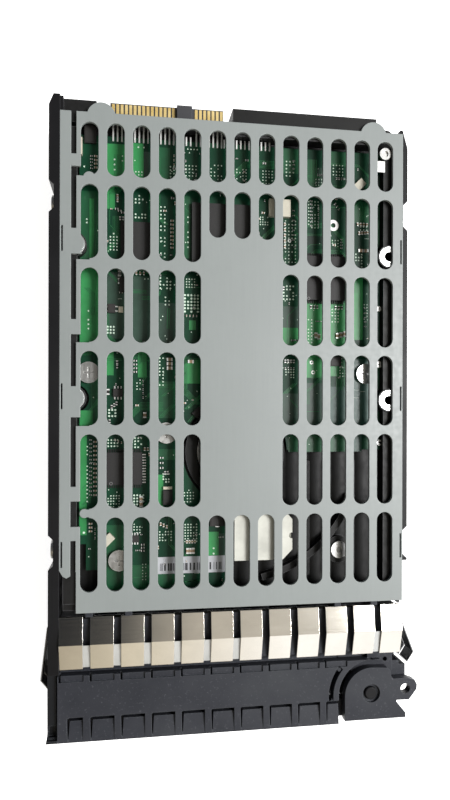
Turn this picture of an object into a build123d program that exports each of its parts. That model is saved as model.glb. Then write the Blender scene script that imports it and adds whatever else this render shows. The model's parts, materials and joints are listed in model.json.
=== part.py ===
from build123d import *
import os
from math import cos, radians, sin

# A 3.5-inch hard disk drive screwed into a hot-plug carrier, lying on its cover.
# Frame: +Z up out of the slotted plate, +Y towards the connector, -Y towards the
# front bezel, origin on the rest plane at the centre of the drive.  Millimetres.

# ---- driving dimensions -----------------------------------------------------
DRIVE_HALF_WIDTH = 50.7
DRIVE_REAR = 73.5
DRIVE_FRONT = -73.5
DRIVE_LOW = 0.2
DRIVE_TOP = 26.3
PLATE_THICK = 1.0
PLATE_TOP = DRIVE_TOP + PLATE_THICK
PLATE_HALF_WIDTH = 51.6
PLATE_REAR = 70.0
PLATE_FRONT = -73.9

SLOT_PITCH_X = 7.43
SLOT_CENTRE_X = 1.3
SLOT_WIDTH = 5.0
SLOT_ROWS = [(51.9, 67.2), (28.0, 49.4), (4.0, 25.4), (-20.0, 1.4), (-44.0, -22.6), (-68.0, -46.6)]
SHORT_SLOT_LOW = 35.5
STRIP_EDGE = -48.5
SLIT_X = (-48.5, -47.0)

MOUNT_HOLE_X = 47.6
MOUNT_HOLE_Y = (32.2, -12.2)
SIDE_SCREW_Y = (45.0, -56.6)
SIDE_SCREW_Z = DRIVE_TOP - 6.35

RAIL_OUT_LEFT = -54.7
RAIL_OUT_RIGHT = 54.0
BEZEL_REAR = -75.6
BEZEL_STEP = -91.8
BEZEL_FACE = -104.0
BEZEL_FRONT = -110.8
FLANGE_LOW = (0.0, 3.3)
FLANGE_TOP = (24.0, PLATE_TOP)

FINGER_COUNT = 12
FINGER_PITCH = 8.75
FINGER_FIRST = -51.55
FINGER_WIDTH = 6.65
SPRING_SHEET = 0.25

PIVOT = (41.9, -102.3)
PIN_RADIUS = 1.95
LEVER_BAR_Z = (3.6, 23.7)
CAM_TOP = (24.2, 26.9)
CAM_LOW = (0.4, 3.1)
RECESS_RADIUS = 10.5
EAR_SWEEP_RADIUS = 15.2

CASE_RIM = 1.3
CASE_CEILING = 19.4
CASE_OUTER_FLOOR = 21.4
PCB_Z = (22.1, 23.3)
PCB_REAR = 65.0

SPINDLE = (0.0, -28.0)
PLATTER_RADIUS = 42.0
PLATTER_BORE = 12.5
PLATTER_THICK = 1.0
PLATTER_Z = [4.0 + 3.2 * k for k in range(4)]
ACTUATOR = (8.0, 29.0)
PARK_ANGLE = 213.3
ARM_Z = [PLATTER_Z[0] - 1.1] + [z + 2.1 for z in PLATTER_Z]
HEAD_REACH = 50.0


# ---- small builders used inside the sub-part blocks -------------------------
def block(x, y, z, mode=Mode.ADD):
    """A box spanning the (low, high) pairs x, y and z."""
    with Locations(((x[0] + x[1]) / 2, (y[0] + y[1]) / 2, (z[0] + z[1]) / 2)):
        Box(x[1] - x[0], y[1] - y[0], z[1] - z[0], mode=mode)


def post(x, y, radius, z, mode=Mode.ADD):
    """An upright cylinder from z[0] to z[1]."""
    with Locations((x, y, (z[0] + z[1]) / 2)):
        Cylinder(radius, z[1] - z[0], mode=mode)


def polar(centre, radius, degrees):
    """The point at a radius and an angle about a centre."""
    return (centre[0] + radius * cos(radians(degrees)), centre[1] + radius * sin(radians(degrees)))


def sector(centre, inner, outer, start, stop, z, mode=Mode.ADD):
    """An upright ring sector between two angles."""
    with BuildSketch(Plane.XY.offset(z[0])) as outline:
        with BuildLine():
            CenterArc(centre, outer, start, stop - start)
            CenterArc(centre, inner, start, stop - start)
            Line(polar(centre, inner, start), polar(centre, outer, start))
            Line(polar(centre, inner, stop), polar(centre, outer, stop))
        make_face()
    extrude(outline.sketch, amount=z[1] - z[0], mode=mode)


def prism(points, z, mode=Mode.ADD):
    """An upright prism over a closed outline."""
    with BuildSketch(Plane.XY.offset(z[0])) as outline:
        with BuildLine():
            Polyline(*points, close=True)
        make_face()
    extrude(outline.sketch, amount=z[1] - z[0], mode=mode)


def ring(centre, inner, outer, z):
    """A round washer."""
    post(*centre, outer, z)
    post(*centre, inner, z, mode=Mode.SUBTRACT)


def side_profile(points, x, mode=Mode.ADD):
    """A profile in (y, z), extruded along X between x[0] and x[1]."""
    with BuildSketch(Plane.YZ.offset(x[0])) as outline:
        with BuildLine():
            Polyline(*points, close=True)
        make_face()
    extrude(outline.sketch, amount=x[1] - x[0], mode=mode)


def thick_line(points, thickness):
    """The closed outline of a bent sheet: the line and its copy set off to the left."""
    back = []
    for i, (a, b) in enumerate(points):
        ahead = points[min(i + 1, len(points) - 1)]
        behind = points[max(i - 1, 0)]
        step = Vector(ahead[0] - behind[0], ahead[1] - behind[1]).normalized()
        back.append((a - step.Y * thickness, b + step.X * thickness))
    return points + back[::-1]


def slot_column_x(column):
    """Centre of a slot column, 1 at the left to 13 at the right."""
    return SLOT_CENTRE_X + (column - 7) * SLOT_PITCH_X


# ---- carrier: slotted plate --------------------------------------------------
with BuildPart() as slotted_plate:
    prism(
        [
            (-PLATE_HALF_WIDTH, PLATE_REAR),
            (PLATE_HALF_WIDTH, PLATE_REAR),
            (PLATE_HALF_WIDTH, PLATE_FRONT),
            (-46.9, PLATE_FRONT),
            (-46.9, -62.0),
            (STRIP_EDGE, -63.2),
            (-49.6, -63.8),
            (-50.6, -63.2),
            (-PLATE_HALF_WIDTH, -61.5),
        ],
        (DRIVE_TOP, PLATE_TOP),
    )
    for bump_x in (-40.0, 42.1):
        post(bump_x, PLATE_REAR - 1.1, 4.1, (DRIVE_TOP, PLATE_TOP))
    for side in (-1, 1):
        inner, outer = side * (PLATE_HALF_WIDTH - 0.8), side * PLATE_HALF_WIDTH
        block(sorted((inner, outer)), (-61.0, 66.0), (12.0, PLATE_TOP))
    for column in range(1, 14):
        for row, (low, high) in enumerate(SLOT_ROWS):
            middle = column in (6, 7, 8)
            if middle and row in (2, 3, 4):
                continue
            if middle and row == 1:
                low = SHORT_SLOT_LOW
            with BuildSketch(Plane.XY.offset(DRIVE_TOP)):
                with Locations((slot_column_x(column), (low + high) / 2)):
                    SlotOverall(high - low, SLOT_WIDTH, rotation=90)
            extrude(amount=PLATE_THICK, mode=Mode.SUBTRACT)
    # narrow slit beside the left strip, open at the rear
    for low, high in (
        (57.8, 75.0),
        (36.5, 54.3),
        (10.4, 29.2),
        (-8.8, 6.1),
        (-13.5, -10.6),
        (-37.6, -17.7),
        (-49.1, -41.8),
        (-64.0, -53.1),
    ):
        block(SLIT_X, (low, high), (DRIVE_TOP, PLATE_TOP), mode=Mode.SUBTRACT)
    # the slit opens into the first column's slots
    first_slot_x = slot_column_x(1)
    for low, high in ((51.6, 54.3), (27.6, 29.2), (3.8, 6.1), (-20.2, -17.7), (-44.2, -41.8), (-49.1, -46.4)):
        block((SLIT_X[0], first_slot_x), (low, high), (DRIVE_TOP, PLATE_TOP), mode=Mode.SUBTRACT)
    block((SLIT_X[0], -44.8), (-49.1, -41.8), (DRIVE_TOP, PLATE_TOP), mode=Mode.SUBTRACT)
    post(-44.6, -45.3, 1.3, (DRIVE_TOP, PLATE_TOP))
    post(-43.4, 51.2, 1.7, (DRIVE_TOP, PLATE_TOP))
    # round tabs that sit over the left mounting holes
    for hole_y in MOUNT_HOLE_Y:
        post(-47.7, hole_y, 2.9, (DRIVE_TOP, PLATE_TOP))
    for side in (-1, 1):
        for slit_y in (33.5, -11.7, -57.0):
            x = side * (PLATE_HALF_WIDTH - 0.6)
            block((x - 0.25, x + 0.25), (slit_y - 3.7, slit_y + 3.7), (24.0, PLATE_TOP), mode=Mode.SUBTRACT)
        for screw_y in SIDE_SCREW_Y:
            with Locations((side * PLATE_HALF_WIDTH, screw_y, SIDE_SCREW_Z)):
                Cylinder(2.0, 6.0, rotation=(0, 90, 0), mode=Mode.SUBTRACT)
slotted_plate.part.label = "slotted_plate"


# ---- carrier: side rails and their screws ------------------------------------
def rail_notches(outer_x, side):
    """Recesses with sloped ends round the two side screws."""
    depth = 1.4
    for low, high in ((40.8, 50.0), (-61.4, -51.4)):
        inner_x = outer_x - side * depth
        prism(
            [(outer_x, low), (outer_x, high), (inner_x, high - 1.3), (inner_x, low + 1.3)],
            (14.0, PLATE_TOP + 1),
            mode=Mode.SUBTRACT,
        )


def screw_holes(x):
    for screw_y in SIDE_SCREW_Y:
        with Locations((x, screw_y, SIDE_SCREW_Z)):
            Cylinder(2.0, 12.0, rotation=(0, 90, 0), mode=Mode.SUBTRACT)


with BuildPart() as left_rail:
    block((RAIL_OUT_LEFT, -PLATE_HALF_WIDTH), (-91.4, 74.6), (0.0, PLATE_TOP))
    rail_notches(RAIL_OUT_LEFT, -1)
    screw_holes(-53.0)
    # guide groove and the channel that holds the light pipes
    block((RAIL_OUT_LEFT, RAIL_OUT_LEFT + 0.9), (-72.0, 80.0), (7.0, 11.0), mode=Mode.SUBTRACT)
    block((RAIL_OUT_LEFT, RAIL_OUT_LEFT + 1.7), (-100.0, 80.0), (0.5, 4.0), mode=Mode.SUBTRACT)
    prism([(RAIL_OUT_LEFT, 74.6), (RAIL_OUT_LEFT, 71.5), (-53.4, 74.6)], (0.0, 30.0), mode=Mode.SUBTRACT)
    # hook over the plate's rear left corner
    block((-PLATE_HALF_WIDTH, -50.75), (70.4, 74.6), (20.0, 26.2))
left_rail.part.label = "left_rail"

with BuildPart() as right_rail:
    block((PLATE_HALF_WIDTH, RAIL_OUT_RIGHT), (-62.0, 72.0), (0.0, 25.3))
    block((PLATE_HALF_WIDTH - 0.8, PLATE_HALF_WIDTH), (-75.1, -61.1), (2.0, 25.3))
    rail_notches(RAIL_OUT_RIGHT, 1)
    screw_holes(53.0)
    block((RAIL_OUT_RIGHT - 0.9, RAIL_OUT_RIGHT), (-56.0, 80.0), (7.0, 11.0), mode=Mode.SUBTRACT)
    prism([(RAIL_OUT_RIGHT, 72.0), (RAIL_OUT_RIGHT, 66.5), (52.4, 72.0)], (-1.0, 30.0), mode=Mode.SUBTRACT)
right_rail.part.label = "right_rail"

with BuildPart() as side_screws:
    for side, seat in ((-1, RAIL_OUT_LEFT + 1.4), (1, RAIL_OUT_RIGHT - 1.4)):
        for screw_y in SIDE_SCREW_Y:
            head_x = seat + side * 0.6
            tip_x = side * (DRIVE_HALF_WIDTH - 3.0)
            with Locations((head_x, screw_y, SIDE_SCREW_Z)):
                Cylinder(2.8, 1.2, rotation=(0, 90, 0))
            with Locations(((seat + tip_x) / 2, screw_y, SIDE_SCREW_Z)):
                Cylinder(1.7, abs(seat - tip_x), rotation=(0, 90, 0))
            with Locations((head_x + side * 0.6, screw_y, SIDE_SCREW_Z)):
                Box(0.8, 3.0, 0.7, mode=Mode.SUBTRACT)
                Box(0.8, 0.7, 3.0, mode=Mode.SUBTRACT)
side_screws.part.label = "side_screws"

with BuildPart() as light_pipes:
    for low in (0.7, 2.4):
        block((-54.5, -53.1), (-110.6, 73.8), (low, low + 1.4))
light_pipes.part.label = "light_pipes"


# ---- carrier: front bezel -----------------------------------------------------
def bezel_ring_cut(z):
    """Room for the cam plate and the sweep of its ear."""
    post(*PIVOT, RECESS_RADIUS, z, mode=Mode.SUBTRACT)
    block((PIVOT[0] - RECESS_RADIUS, 60.0), (-112.0, PIVOT[1]), z, mode=Mode.SUBTRACT)
    sector(PIVOT, 0.5, EAR_SWEEP_RADIUS, -60.0, 76.0, z, mode=Mode.SUBTRACT)


with BuildPart() as bezel:
    block((-51.4, 50.4), (BEZEL_STEP, BEZEL_REAR), (1.7, 25.6))
    block((-54.9, 49.8), (BEZEL_FACE, BEZEL_STEP), (0.0, PLATE_TOP))
    block((-54.9, 49.8), (BEZEL_STEP, -91.4), (0.0, 25.2))
    for flange in (FLANGE_LOW, FLANGE_TOP):
        block((-54.9, 49.8), (BEZEL_FRONT, BEZEL_FACE), flange)
    block((-54.9, -53.1), (BEZEL_FRONT, BEZEL_FACE), (0.0, PLATE_TOP))
    # foot of the side wall flares a little at the front
    prism([(-54.9, -108.6), (-55.2, BEZEL_FRONT), (-53.1, BEZEL_FRONT), (-53.1, -108.6)], (0.0, PLATE_TOP))
    # air channels through the body
    for k in range(1, 9):
        middle = -47.3 + FINGER_PITCH * k
        block((middle - 3.3, middle + 3.3), (-120.0, -70.0), (4.2, 23.2), mode=Mode.SUBTRACT)
    # groove under the feet of the fingers
    block((-51.4, 41.0), (BEZEL_STEP, -89.6), (23.7, 26.0), mode=Mode.SUBTRACT)
    # shallow rest under each foot in the rear edge of the raised panel, with a nick at its left end
    for k in range(10):
        left = FINGER_FIRST + FINGER_PITCH * k - 0.2
        block((left, left + FINGER_WIDTH + 0.4), (BEZEL_STEP - 1.7, BEZEL_STEP), (26.8, 28.0), mode=Mode.SUBTRACT)
        block((left, left + 0.6), (BEZEL_STEP - 1.8, BEZEL_STEP), (25.4, 28.0), mode=Mode.SUBTRACT)
    # ramp pockets in the front band: a deep slot at the rear, flush at the front
    for left, right in [(-49.0, -44.8)] + [(-42.5 + 8.77 * k, -35.9 + 8.77 * k) for k in range(9)]:
        side_profile(
            [(-104.1, PLATE_TOP + 0.5), (-104.1, PLATE_TOP - 0.9), (BEZEL_FRONT, PLATE_TOP + 0.02),
             (BEZEL_FRONT, PLATE_TOP + 0.5)],
            (left, right),
            mode=Mode.SUBTRACT,
        )
        block((left, right), (-104.9, -103.7), (PLATE_TOP - 2.6, PLATE_TOP + 0.5), mode=Mode.SUBTRACT)
        prism(
            [(left - 0.3, -103.9), (left + 0.5, -103.9), (left + 0.1, -109.8), (left - 0.1, -109.8)],
            (PLATE_TOP - 2.4, PLATE_TOP + 0.5),
            mode=Mode.SUBTRACT,
        )
    # lower band along the left side, with a groove beside it and a pocket near the front
    block((-56.0, -52.4), (-110.1, -91.0), (25.9, 28.0), mode=Mode.SUBTRACT)
    block((-52.4, -52.0), (-110.1, -91.0), (24.6, 28.0), mode=Mode.SUBTRACT)
    block((-54.6, -52.1), (-109.6, -106.3), (PLATE_TOP - 2.6, PLATE_TOP + 1), mode=Mode.SUBTRACT)
    # cam recess, crescent slot, pivot pocket and the pocket for the stop arm
    bezel_ring_cut((FLANGE_TOP[0], 30.0))
    bezel_ring_cut((-1.0, FLANGE_LOW[1]))
    sector(PIVOT, 12.2, 13.7, 139.0, 191.0, (20.0, 30.0), mode=Mode.SUBTRACT)
    sector(PIVOT, 1.0, 14.6, 132.0, 200.0, (20.4, FLANGE_TOP[0]), mode=Mode.SUBTRACT)
    block((35.3, 60.0), (-112.0, -96.8), (FLANGE_LOW[1], FLANGE_TOP[0]), mode=Mode.SUBTRACT)
    # stub and tooth beside the cam, under the ear's sweep
    block((49.5, 52.1), (-97.5, -93.8), (4.0, 23.6))
    block((49.5, 54.2), (-99.2, -95.0), (4.0, 23.6))
    post(47.4, -93.0, 0.7, (20.0, 24.2), mode=Mode.SUBTRACT)
    # lug that carries the pivot pin
    block((PIVOT[0] - 3.5, PIVOT[0] + 3.5), (PIVOT[1], -96.0), (10.4, 16.0))
    post(*PIVOT, 3.5, (10.4, 16.0))
    post(*PIVOT, PIN_RADIUS, (5.0, 20.0), mode=Mode.SUBTRACT)
    # pocket and spring bore behind the release button
    block((-53.1, -45.9), (-120.0, -101.4), (3.8, 23.5), mode=Mode.SUBTRACT)
    with Locations((-49.5, -99.0, 13.65)):
        Cylinder(2.2, 6.0, rotation=(90, 0, 0), mode=Mode.SUBTRACT)
    # channel for the light pipes and notches for the tips of the side springs
    block((-55.6, -53.0), (-120.0, -70.0), (0.5, 4.0), mode=Mode.SUBTRACT)
    block((-56.0, -53.8), (-97.4, -91.2), (4.6, 24.4), mode=Mode.SUBTRACT)
    # small lugs that lap the plate's front edge
    for lug_x in (-43.2, -31.9, 31.0, 42.5):
        block((lug_x - 1.0, lug_x + 1.0), (-75.1, PLATE_FRONT), (20.0, PLATE_TOP))
        block((lug_x - 1.0, lug_x + 1.0), (-76.4, -75.0), (20.0, 25.5))
    # face-plate seat across the air channels
    block((-44.0, 27.6), (-104.6, -103.2), (4.0, 23.4), mode=Mode.SUBTRACT)
bezel.part.label = "bezel"

with BuildPart() as front_grille:
    block((-43.8, 27.4), (-104.1, -103.3), (4.2, 23.2))
    with BuildSketch(Plane.XZ.offset(103.0)):
        with Locations((-8.2, 13.7)):
            with GridLocations(2.9, 2.9, 24, 6):
                RegularPolygon(1.15, 6)
    extrude(amount=2.0, mode=Mode.SUBTRACT)
front_grille.part.label = "front_grille"


# ---- carrier: shielding springs ------------------------------------------------
def gasket_fingers(base_z, up, rear_rise, peak_rise, foot_rise):
    """A base strip with bent fingers folded forward over it; up is +1 or -1."""
    rear, peak, foot, base_front = -75.15, -82.8, -90.3, -75.9
    sheet = SPRING_SHEET
    outline = [
        (rear, 0.0), (rear, rear_rise), (peak, peak_rise), (foot, foot_rise), (foot, foot_rise - sheet),
        (peak, peak_rise - sheet), (rear - sheet, rear_rise - sheet), (rear - sheet, sheet),
        (base_front, sheet), (base_front, 0.0),
    ]
    profile = [(y, base_z + up * rise) for y, rise in outline]
    last_right = FINGER_FIRST + FINGER_PITCH * (FINGER_COUNT - 1) + FINGER_WIDTH
    block((FINGER_FIRST, last_right), (base_front, rear), sorted((base_z, base_z + up * sheet)))
    for k in range(FINGER_COUNT):
        left = FINGER_FIRST + FINGER_PITCH * k
        side_profile(profile, (left, left + FINGER_WIDTH))


with BuildPart() as emi_gasket_upper:
    gasket_fingers(25.6, 1, 1.35, 2.65, 0.6)
emi_gasket_upper.part.label = "emi_gasket_upper"

with BuildPart() as emi_gasket_lower:
    gasket_fingers(1.7, -1, 0.95, 1.4, 0.5)
emi_gasket_lower.part.label = "emi_gasket_lower"

with BuildPart() as emi_gasket_sides:
    left_line = [(-55.0, -78.7), (-56.8, -93.8), (-54.6, -96.4)]
    right_line = [(50.65, -76.4), (52.1, -78.9), (56.9, -91.2), (54.7, -94.4), (50.45, -90.6)]
    for low in (4.9, 11.5, 18.1):
        prism(thick_line(left_line, -0.3), (low, low + 6.0))
        prism(thick_line(right_line, -0.3), (low, low + 6.0))
    block((-55.2, -54.72), (-80.5, -78.8), (4.9, 24.1))
    block((50.4, 50.7), (-78.6, -76.2), (4.9, 24.1))
emi_gasket_sides.part.label = "emi_gasket_sides"


# ---- carrier: ejector lever, its pin and springs -------------------------------
def cam_plate(z):
    """The round cam with its pierced ear and lower lip."""
    post(PIVOT[0], -102.8, 8.4, z)
    block((30.0, 50.0), (-112.0, -110.3), z, mode=Mode.SUBTRACT)
    prism(
        [(33.5, -102.8), (33.5, -110.3), (53.0, -110.3), (53.0, -108.9), (49.6, -104.8), (54.1, -104.9),
         (56.6, -101.8), (56.7, -100.3), (56.0, -99.0), (53.9, -98.2), (48.4, -98.2), (48.1, -95.6),
         (47.2, -94.7), (PIVOT[0], -94.4)],
        z,
    )
    post(52.9, -101.4, 1.55, z, mode=Mode.SUBTRACT)


with BuildPart() as ejector_lever:
    block((-45.5, 36.4), (-110.3, -104.7), LEVER_BAR_Z)
    fillet(ejector_lever.edges().filter_by(Axis.X).group_by(Axis.Y)[0], 0.7)
    cam_plate(CAM_TOP)
    cam_plate(CAM_LOW)
    post(*PIVOT, 4.8, (17.6, 25.0))
    post(*PIVOT, 4.8, (2.0, 9.8))
    block((36.0, 49.0), (-110.3, -106.3), (3.0, 24.3))
    block((36.0, 41.5), (-107.0, -104.7), (17.6, 23.7))
    block((36.0, 41.5), (-107.0, -104.7), (3.6, 9.8))
    for k in range(9):
        middle = -38.5 + FINGER_PITCH * k
        block((middle - 2.9, middle + 2.9), (-112.0, -104.0), (7.0, 20.4), mode=Mode.SUBTRACT)
    # arm and stop pin that run in the crescent slot
    arm_tip = polar(PIVOT, 12.95, 142.5)
    with Locations(Location(((PIVOT[0] + arm_tip[0]) / 2, (PIVOT[1] + arm_tip[1]) / 2, 22.2), (0, 0, 142.5))):
        Box(13.6, 2.2, 2.4)
    post(*arm_tip, 0.6, (22.0, 26.9))
    post(*PIVOT, 2.0, (-1.0, 30.0), mode=Mode.SUBTRACT)
    post(*PIVOT, 2.8, (26.0, 30.0), mode=Mode.SUBTRACT)
ejector_lever.part.label = "ejector_lever"

with BuildPart() as pivot_pin:
    post(*PIVOT, PIN_RADIUS, (0.6, 26.8))
    chamfer(pivot_pin.edges().filter_by(GeomType.CIRCLE).sort_by(Axis.Z)[-1], 0.25)
pivot_pin.part.label = "pivot_pin"

with BuildPart() as lever_spring:
    ring(PIVOT, 2.1, 3.3, (16.1, 16.7))
    block((PIVOT[0] - 3.2, PIVOT[0] - 2.6), (PIVOT[1], -96.9), (16.1, 16.7))
    post(*PIVOT, 2.1, (16.0, 17.0), mode=Mode.SUBTRACT)
lever_spring.part.label = "lever_spring"

with BuildPart() as release_button:
    block((-52.8, -46.1), (-110.9, -104.6), (4.1, 23.2))
    fillet(release_button.edges().filter_by(Axis.Z).group_by(Axis.Y)[0], 0.8)
    for k in range(4):
        block((-52.0, -46.9), (-112.0, -110.5), (9.5 + 2.4 * k, 10.5 + 2.4 * k), mode=Mode.SUBTRACT)
    with Locations((-49.5, -105.5, 13.65)):
        Cylinder(2.2, 4.0, rotation=(90, 0, 0), mode=Mode.SUBTRACT)
release_button.part.label = "release_button"

with BuildPart() as button_spring:
    with BuildLine() as coil:
        Helix(pitch=1.3, height=6.5, radius=1.5, center=(-49.5, -97.0, 13.65), direction=(0, -1, 0))
    with BuildSketch(Plane(coil.line @ 0, z_dir=coil.line % 0)):
        Circle(0.2)
    sweep(path=coil.line)
button_spring.part.label = "button_spring"

# ---- drive: base casting -------------------------------------------------------
with BuildPart() as base_casting:
    block((-DRIVE_HALF_WIDTH, DRIVE_HALF_WIDTH), (DRIVE_FRONT, DRIVE_REAR), (CASE_RIM, CASE_OUTER_FLOOR))
    fillet(base_casting.edges().filter_by(Axis.Z), 2.0)
    # disk bay and actuator bay, open towards the cover
    post(*SPINDLE, PLATTER_RADIUS + 1.3, (0.0, CASE_CEILING), mode=Mode.SUBTRACT)
    block((-45.5, 45.5), (14.0, 65.0), (0.0, CASE_CEILING), mode=Mode.SUBTRACT)
    block((-44.0, 30.0), (-12.0, 30.0), (0.0, CASE_CEILING), mode=Mode.SUBTRACT)
    block((36.5, 45.5), (1.5, 15.0), (0.0, CASE_CEILING), mode=Mode.SUBTRACT)
    # side rails of the circuit side, with bosses for the mounting holes
    block((-DRIVE_HALF_WIDTH, -46.8), (-71.5, 66.0), (CASE_OUTER_FLOOR, DRIVE_TOP))
    block((46.1, DRIVE_HALF_WIDTH), (-71.5, 66.0), (CASE_OUTER_FLOOR, 25.4))
    block((-DRIVE_HALF_WIDTH, DRIVE_HALF_WIDTH), (DRIVE_FRONT, -71.0), (CASE_OUTER_FLOOR, 25.6))
    for side in (-1, 1):
        for hole_y in MOUNT_HOLE_Y:
            post(side * MOUNT_HOLE_X, hole_y, 3.5, (20.0, DRIVE_TOP))
        outside = sorted((side * DRIVE_HALF_WIDTH, side * 53.0))
        block(outside, (-60.0, 60.0), (0.0, 30.0), mode=Mode.SUBTRACT)
    # rear blocks either side of the connector
    block((-1.5, 43.4), (66.4, 74.5), (18.0, 26.2))
    block((-DRIVE_HALF_WIDTH, -41.4), (67.5, 74.0), (18.0, 25.8))
    block((-41.4, -1.5), (68.2, 80.0), (19.6, 30.0), mode=Mode.SUBTRACT)
    # spindle motor housing seen through the circuit board's cut-out
    post(*SPINDLE, 15.2, (CASE_OUTER_FLOOR, 23.2))
    post(*SPINDLE, 9.5, (23.2, 23.9))
    post(*SPINDLE, 6.2, (23.2, 24.0), mode=Mode.SUBTRACT)
    # ribs and pockets of the bare casting right of the motor
    sector(SPINDLE, 38.0, 40.0, -78.0, -20.0, (CASE_OUTER_FLOOR, 24.0))
    for rib_x in (22.0, 28.5, 36.5):
        block((rib_x, rib_x + 1.2), (-66.0, -31.0), (CASE_OUTER_FLOOR, 23.2))
    post(32.6, -58.5, 4.2, (CASE_OUTER_FLOOR, 23.0))
    # boss that carries the stator, and the pads that carry pivot and magnets
    ring(SPINDLE, 5.9, 6.9, (10.0, CASE_CEILING + 0.1))
    post(*SPINDLE, 2.0, (12.0, 20.6), mode=Mode.SUBTRACT)
    post(*ACTUATOR, 5.2, (17.6, CASE_CEILING + 0.1))
    post(*ACTUATOR, 2.5, (15.0, 20.6), mode=Mode.SUBTRACT)
    for side in (-1, 1):
        for hole_y in MOUNT_HOLE_Y:
            post(side * MOUNT_HOLE_X, hole_y, 1.4, (20.6, 30.0), mode=Mode.SUBTRACT)
        for screw_y in SIDE_SCREW_Y:
            with Locations((side * DRIVE_HALF_WIDTH, screw_y, SIDE_SCREW_Z)):
                Cylinder(1.75, 7.0, rotation=(0, 90, 0), mode=Mode.SUBTRACT)
base_casting.part.label = "base_casting"

# ---- drive: cover side ---------------------------------------------------------
COVER_SCREWS = [(x, y) for x in (-47.6, 47.6) for y in (-68.0, 5.0, 64.0)] + [(0.0, 68.0)]
COVER_Z = (DRIVE_LOW, 1.0)
with BuildPart() as top_cover:
    with BuildSketch(Plane.XY.offset(COVER_Z[0])):
        RectangleRounded(100.0, 145.6, 4.0)
    extrude(amount=COVER_Z[1] - COVER_Z[0])
    post(*SPINDLE, 1.2, (-1.0, 3.0), mode=Mode.SUBTRACT)
    for x, y in COVER_SCREWS:
        post(x, y, 1.5, (-1.0, 3.0), mode=Mode.SUBTRACT)
    ring((-30.0, 52.0), 1.0, 1.8, (COVER_Z[0], 1.6))
    post(-30.0, 52.0, 1.0, (-1.0, 3.0), mode=Mode.SUBTRACT)
top_cover.part.label = "top_cover"

with BuildPart() as cover_gasket:
    with BuildSketch(Plane.XY.offset(COVER_Z[1])):
        RectangleRounded(98.8, 144.4, 3.5)
        RectangleRounded(91.2, 130.6, 1.0, mode=Mode.SUBTRACT)
        for x, y in COVER_SCREWS:
            with Locations((x, y)):
                Circle(1.6, mode=Mode.SUBTRACT)
    extrude(amount=CASE_RIM - COVER_Z[1])
    post(*SPINDLE, PLATTER_RADIUS + 1.3, (0.5, 2.0), mode=Mode.SUBTRACT)
cover_gasket.part.label = "cover_gasket"

with BuildPart() as cover_screws:
    for x, y in COVER_SCREWS:
        post(x, y, 1.4, (0.35, CASE_RIM))
        with Locations((x, y, 0.35)):
            Box(1.6, 0.4, 0.4, mode=Mode.SUBTRACT)
            Box(0.4, 1.6, 0.4, mode=Mode.SUBTRACT)
cover_screws.part.label = "cover_screws"

with BuildPart() as drive_label:
    with BuildSketch(Plane.XY.offset(0.1)):
        with Locations((4.0, 8.0)):
            RectangleRounded(78.0, 96.0, 2.0)
        with Locations(SPINDLE):
            Circle(6.0, mode=Mode.SUBTRACT)
    extrude(amount=0.1)
drive_label.part.label = "drive_label"

# ---- drive: circuit board and what stands on it --------------------------------
MOTOR_CUT_RADIUS = 16.0
with BuildPart() as circuit_board:
    prism(
        [(-46.4, PCB_REAR), (45.8, PCB_REAR), (45.8, -27.5), (-1.8, -27.5), (-1.8, -70.0), (-40.8, -70.0),
         (-40.8, -62.5), (-44.3, -62.5), (-44.3, -54.8), (-46.4, -54.8)],
        PCB_Z,
    )
    post(*SPINDLE, MOTOR_CUT_RADIUS, (20.0, 25.0), mode=Mode.SUBTRACT)
    for hole_y in MOUNT_HOLE_Y:
        post(-MOUNT_HOLE_X, hole_y, 4.1, (20.0, 25.0), mode=Mode.SUBTRACT)
        post(MOUNT_HOLE_X, hole_y, 4.1, (20.0, 25.0), mode=Mode.SUBTRACT)
circuit_board.part.label = "circuit_board"

with BuildPart() as board_insulator:
    block((-44.0, 42.0), (-10.0, 62.0), (CASE_OUTER_FLOOR, PCB_Z[0]))
board_insulator.part.label = "board_insulator"

BOARD_SCREWS = [(-43.6, -4.6), (-34.7, -59.7), (-21.0, -22.3), (40.9, -4.0)]
with BuildPart() as board_screws:
    for x, y in BOARD_SCREWS:
        post(x, y, 3.1, (PCB_Z[1], PCB_Z[1] + 1.4))
        with Locations((x, y, PCB_Z[1] + 1.4)):
            Box(3.0, 0.6, 1.2, mode=Mode.SUBTRACT)
            Box(0.6, 3.0, 1.2, mode=Mode.SUBTRACT)
    for x, y, floor in ((32.6, -58.5, 23.0), (46.4, 64.0, 25.4)):
        post(x, y, 2.6 if y < 0 else 1.8, (floor, floor + 0.8))
        post(x, y, 1.0, (floor + 0.2, floor + 0.9), mode=Mode.SUBTRACT)
board_screws.part.label = "board_screws"


def chip(x, y, height):
    """A moulded package on the board."""
    block(x, y, (PCB_Z[1], PCB_Z[1] + height))


with BuildPart() as controller_chip:
    chip((-13.5, 5.0), (26.5, 46.4), 1.5)
controller_chip.part.label = "controller_chip"

with BuildPart() as buffer_memory_chip:
    chip((-34.5, -24.0), (27.0, 39.9), 1.2)
buffer_memory_chip.part.label = "buffer_memory_chip"

with BuildPart() as flash_memory_chip:
    chip((-38.5, -28.0), (-37.5, -28.0), 1.2)
    for y0, y1 in ((-28.0, -27.0), (-38.5, -37.5)):
        for k in range(15):
            x = -38.0 + 0.66 * k
            chip((x, x + 0.3), (y0, y1), 0.4)
flash_memory_chip.part.label = "flash_memory_chip"

with BuildPart() as motor_driver_chip:
    chip((21.0, 34.0), (18.5, 32.0), 1.4)
    for y0, y1 in ((32.0, 33.0), (17.5, 18.5)):
        for k in range(19):
            x = 21.2 + 0.68 * k
            chip((x, x + 0.34), (y0, y1), 0.4)
motor_driver_chip.part.label = "motor_driver_chip"

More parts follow.
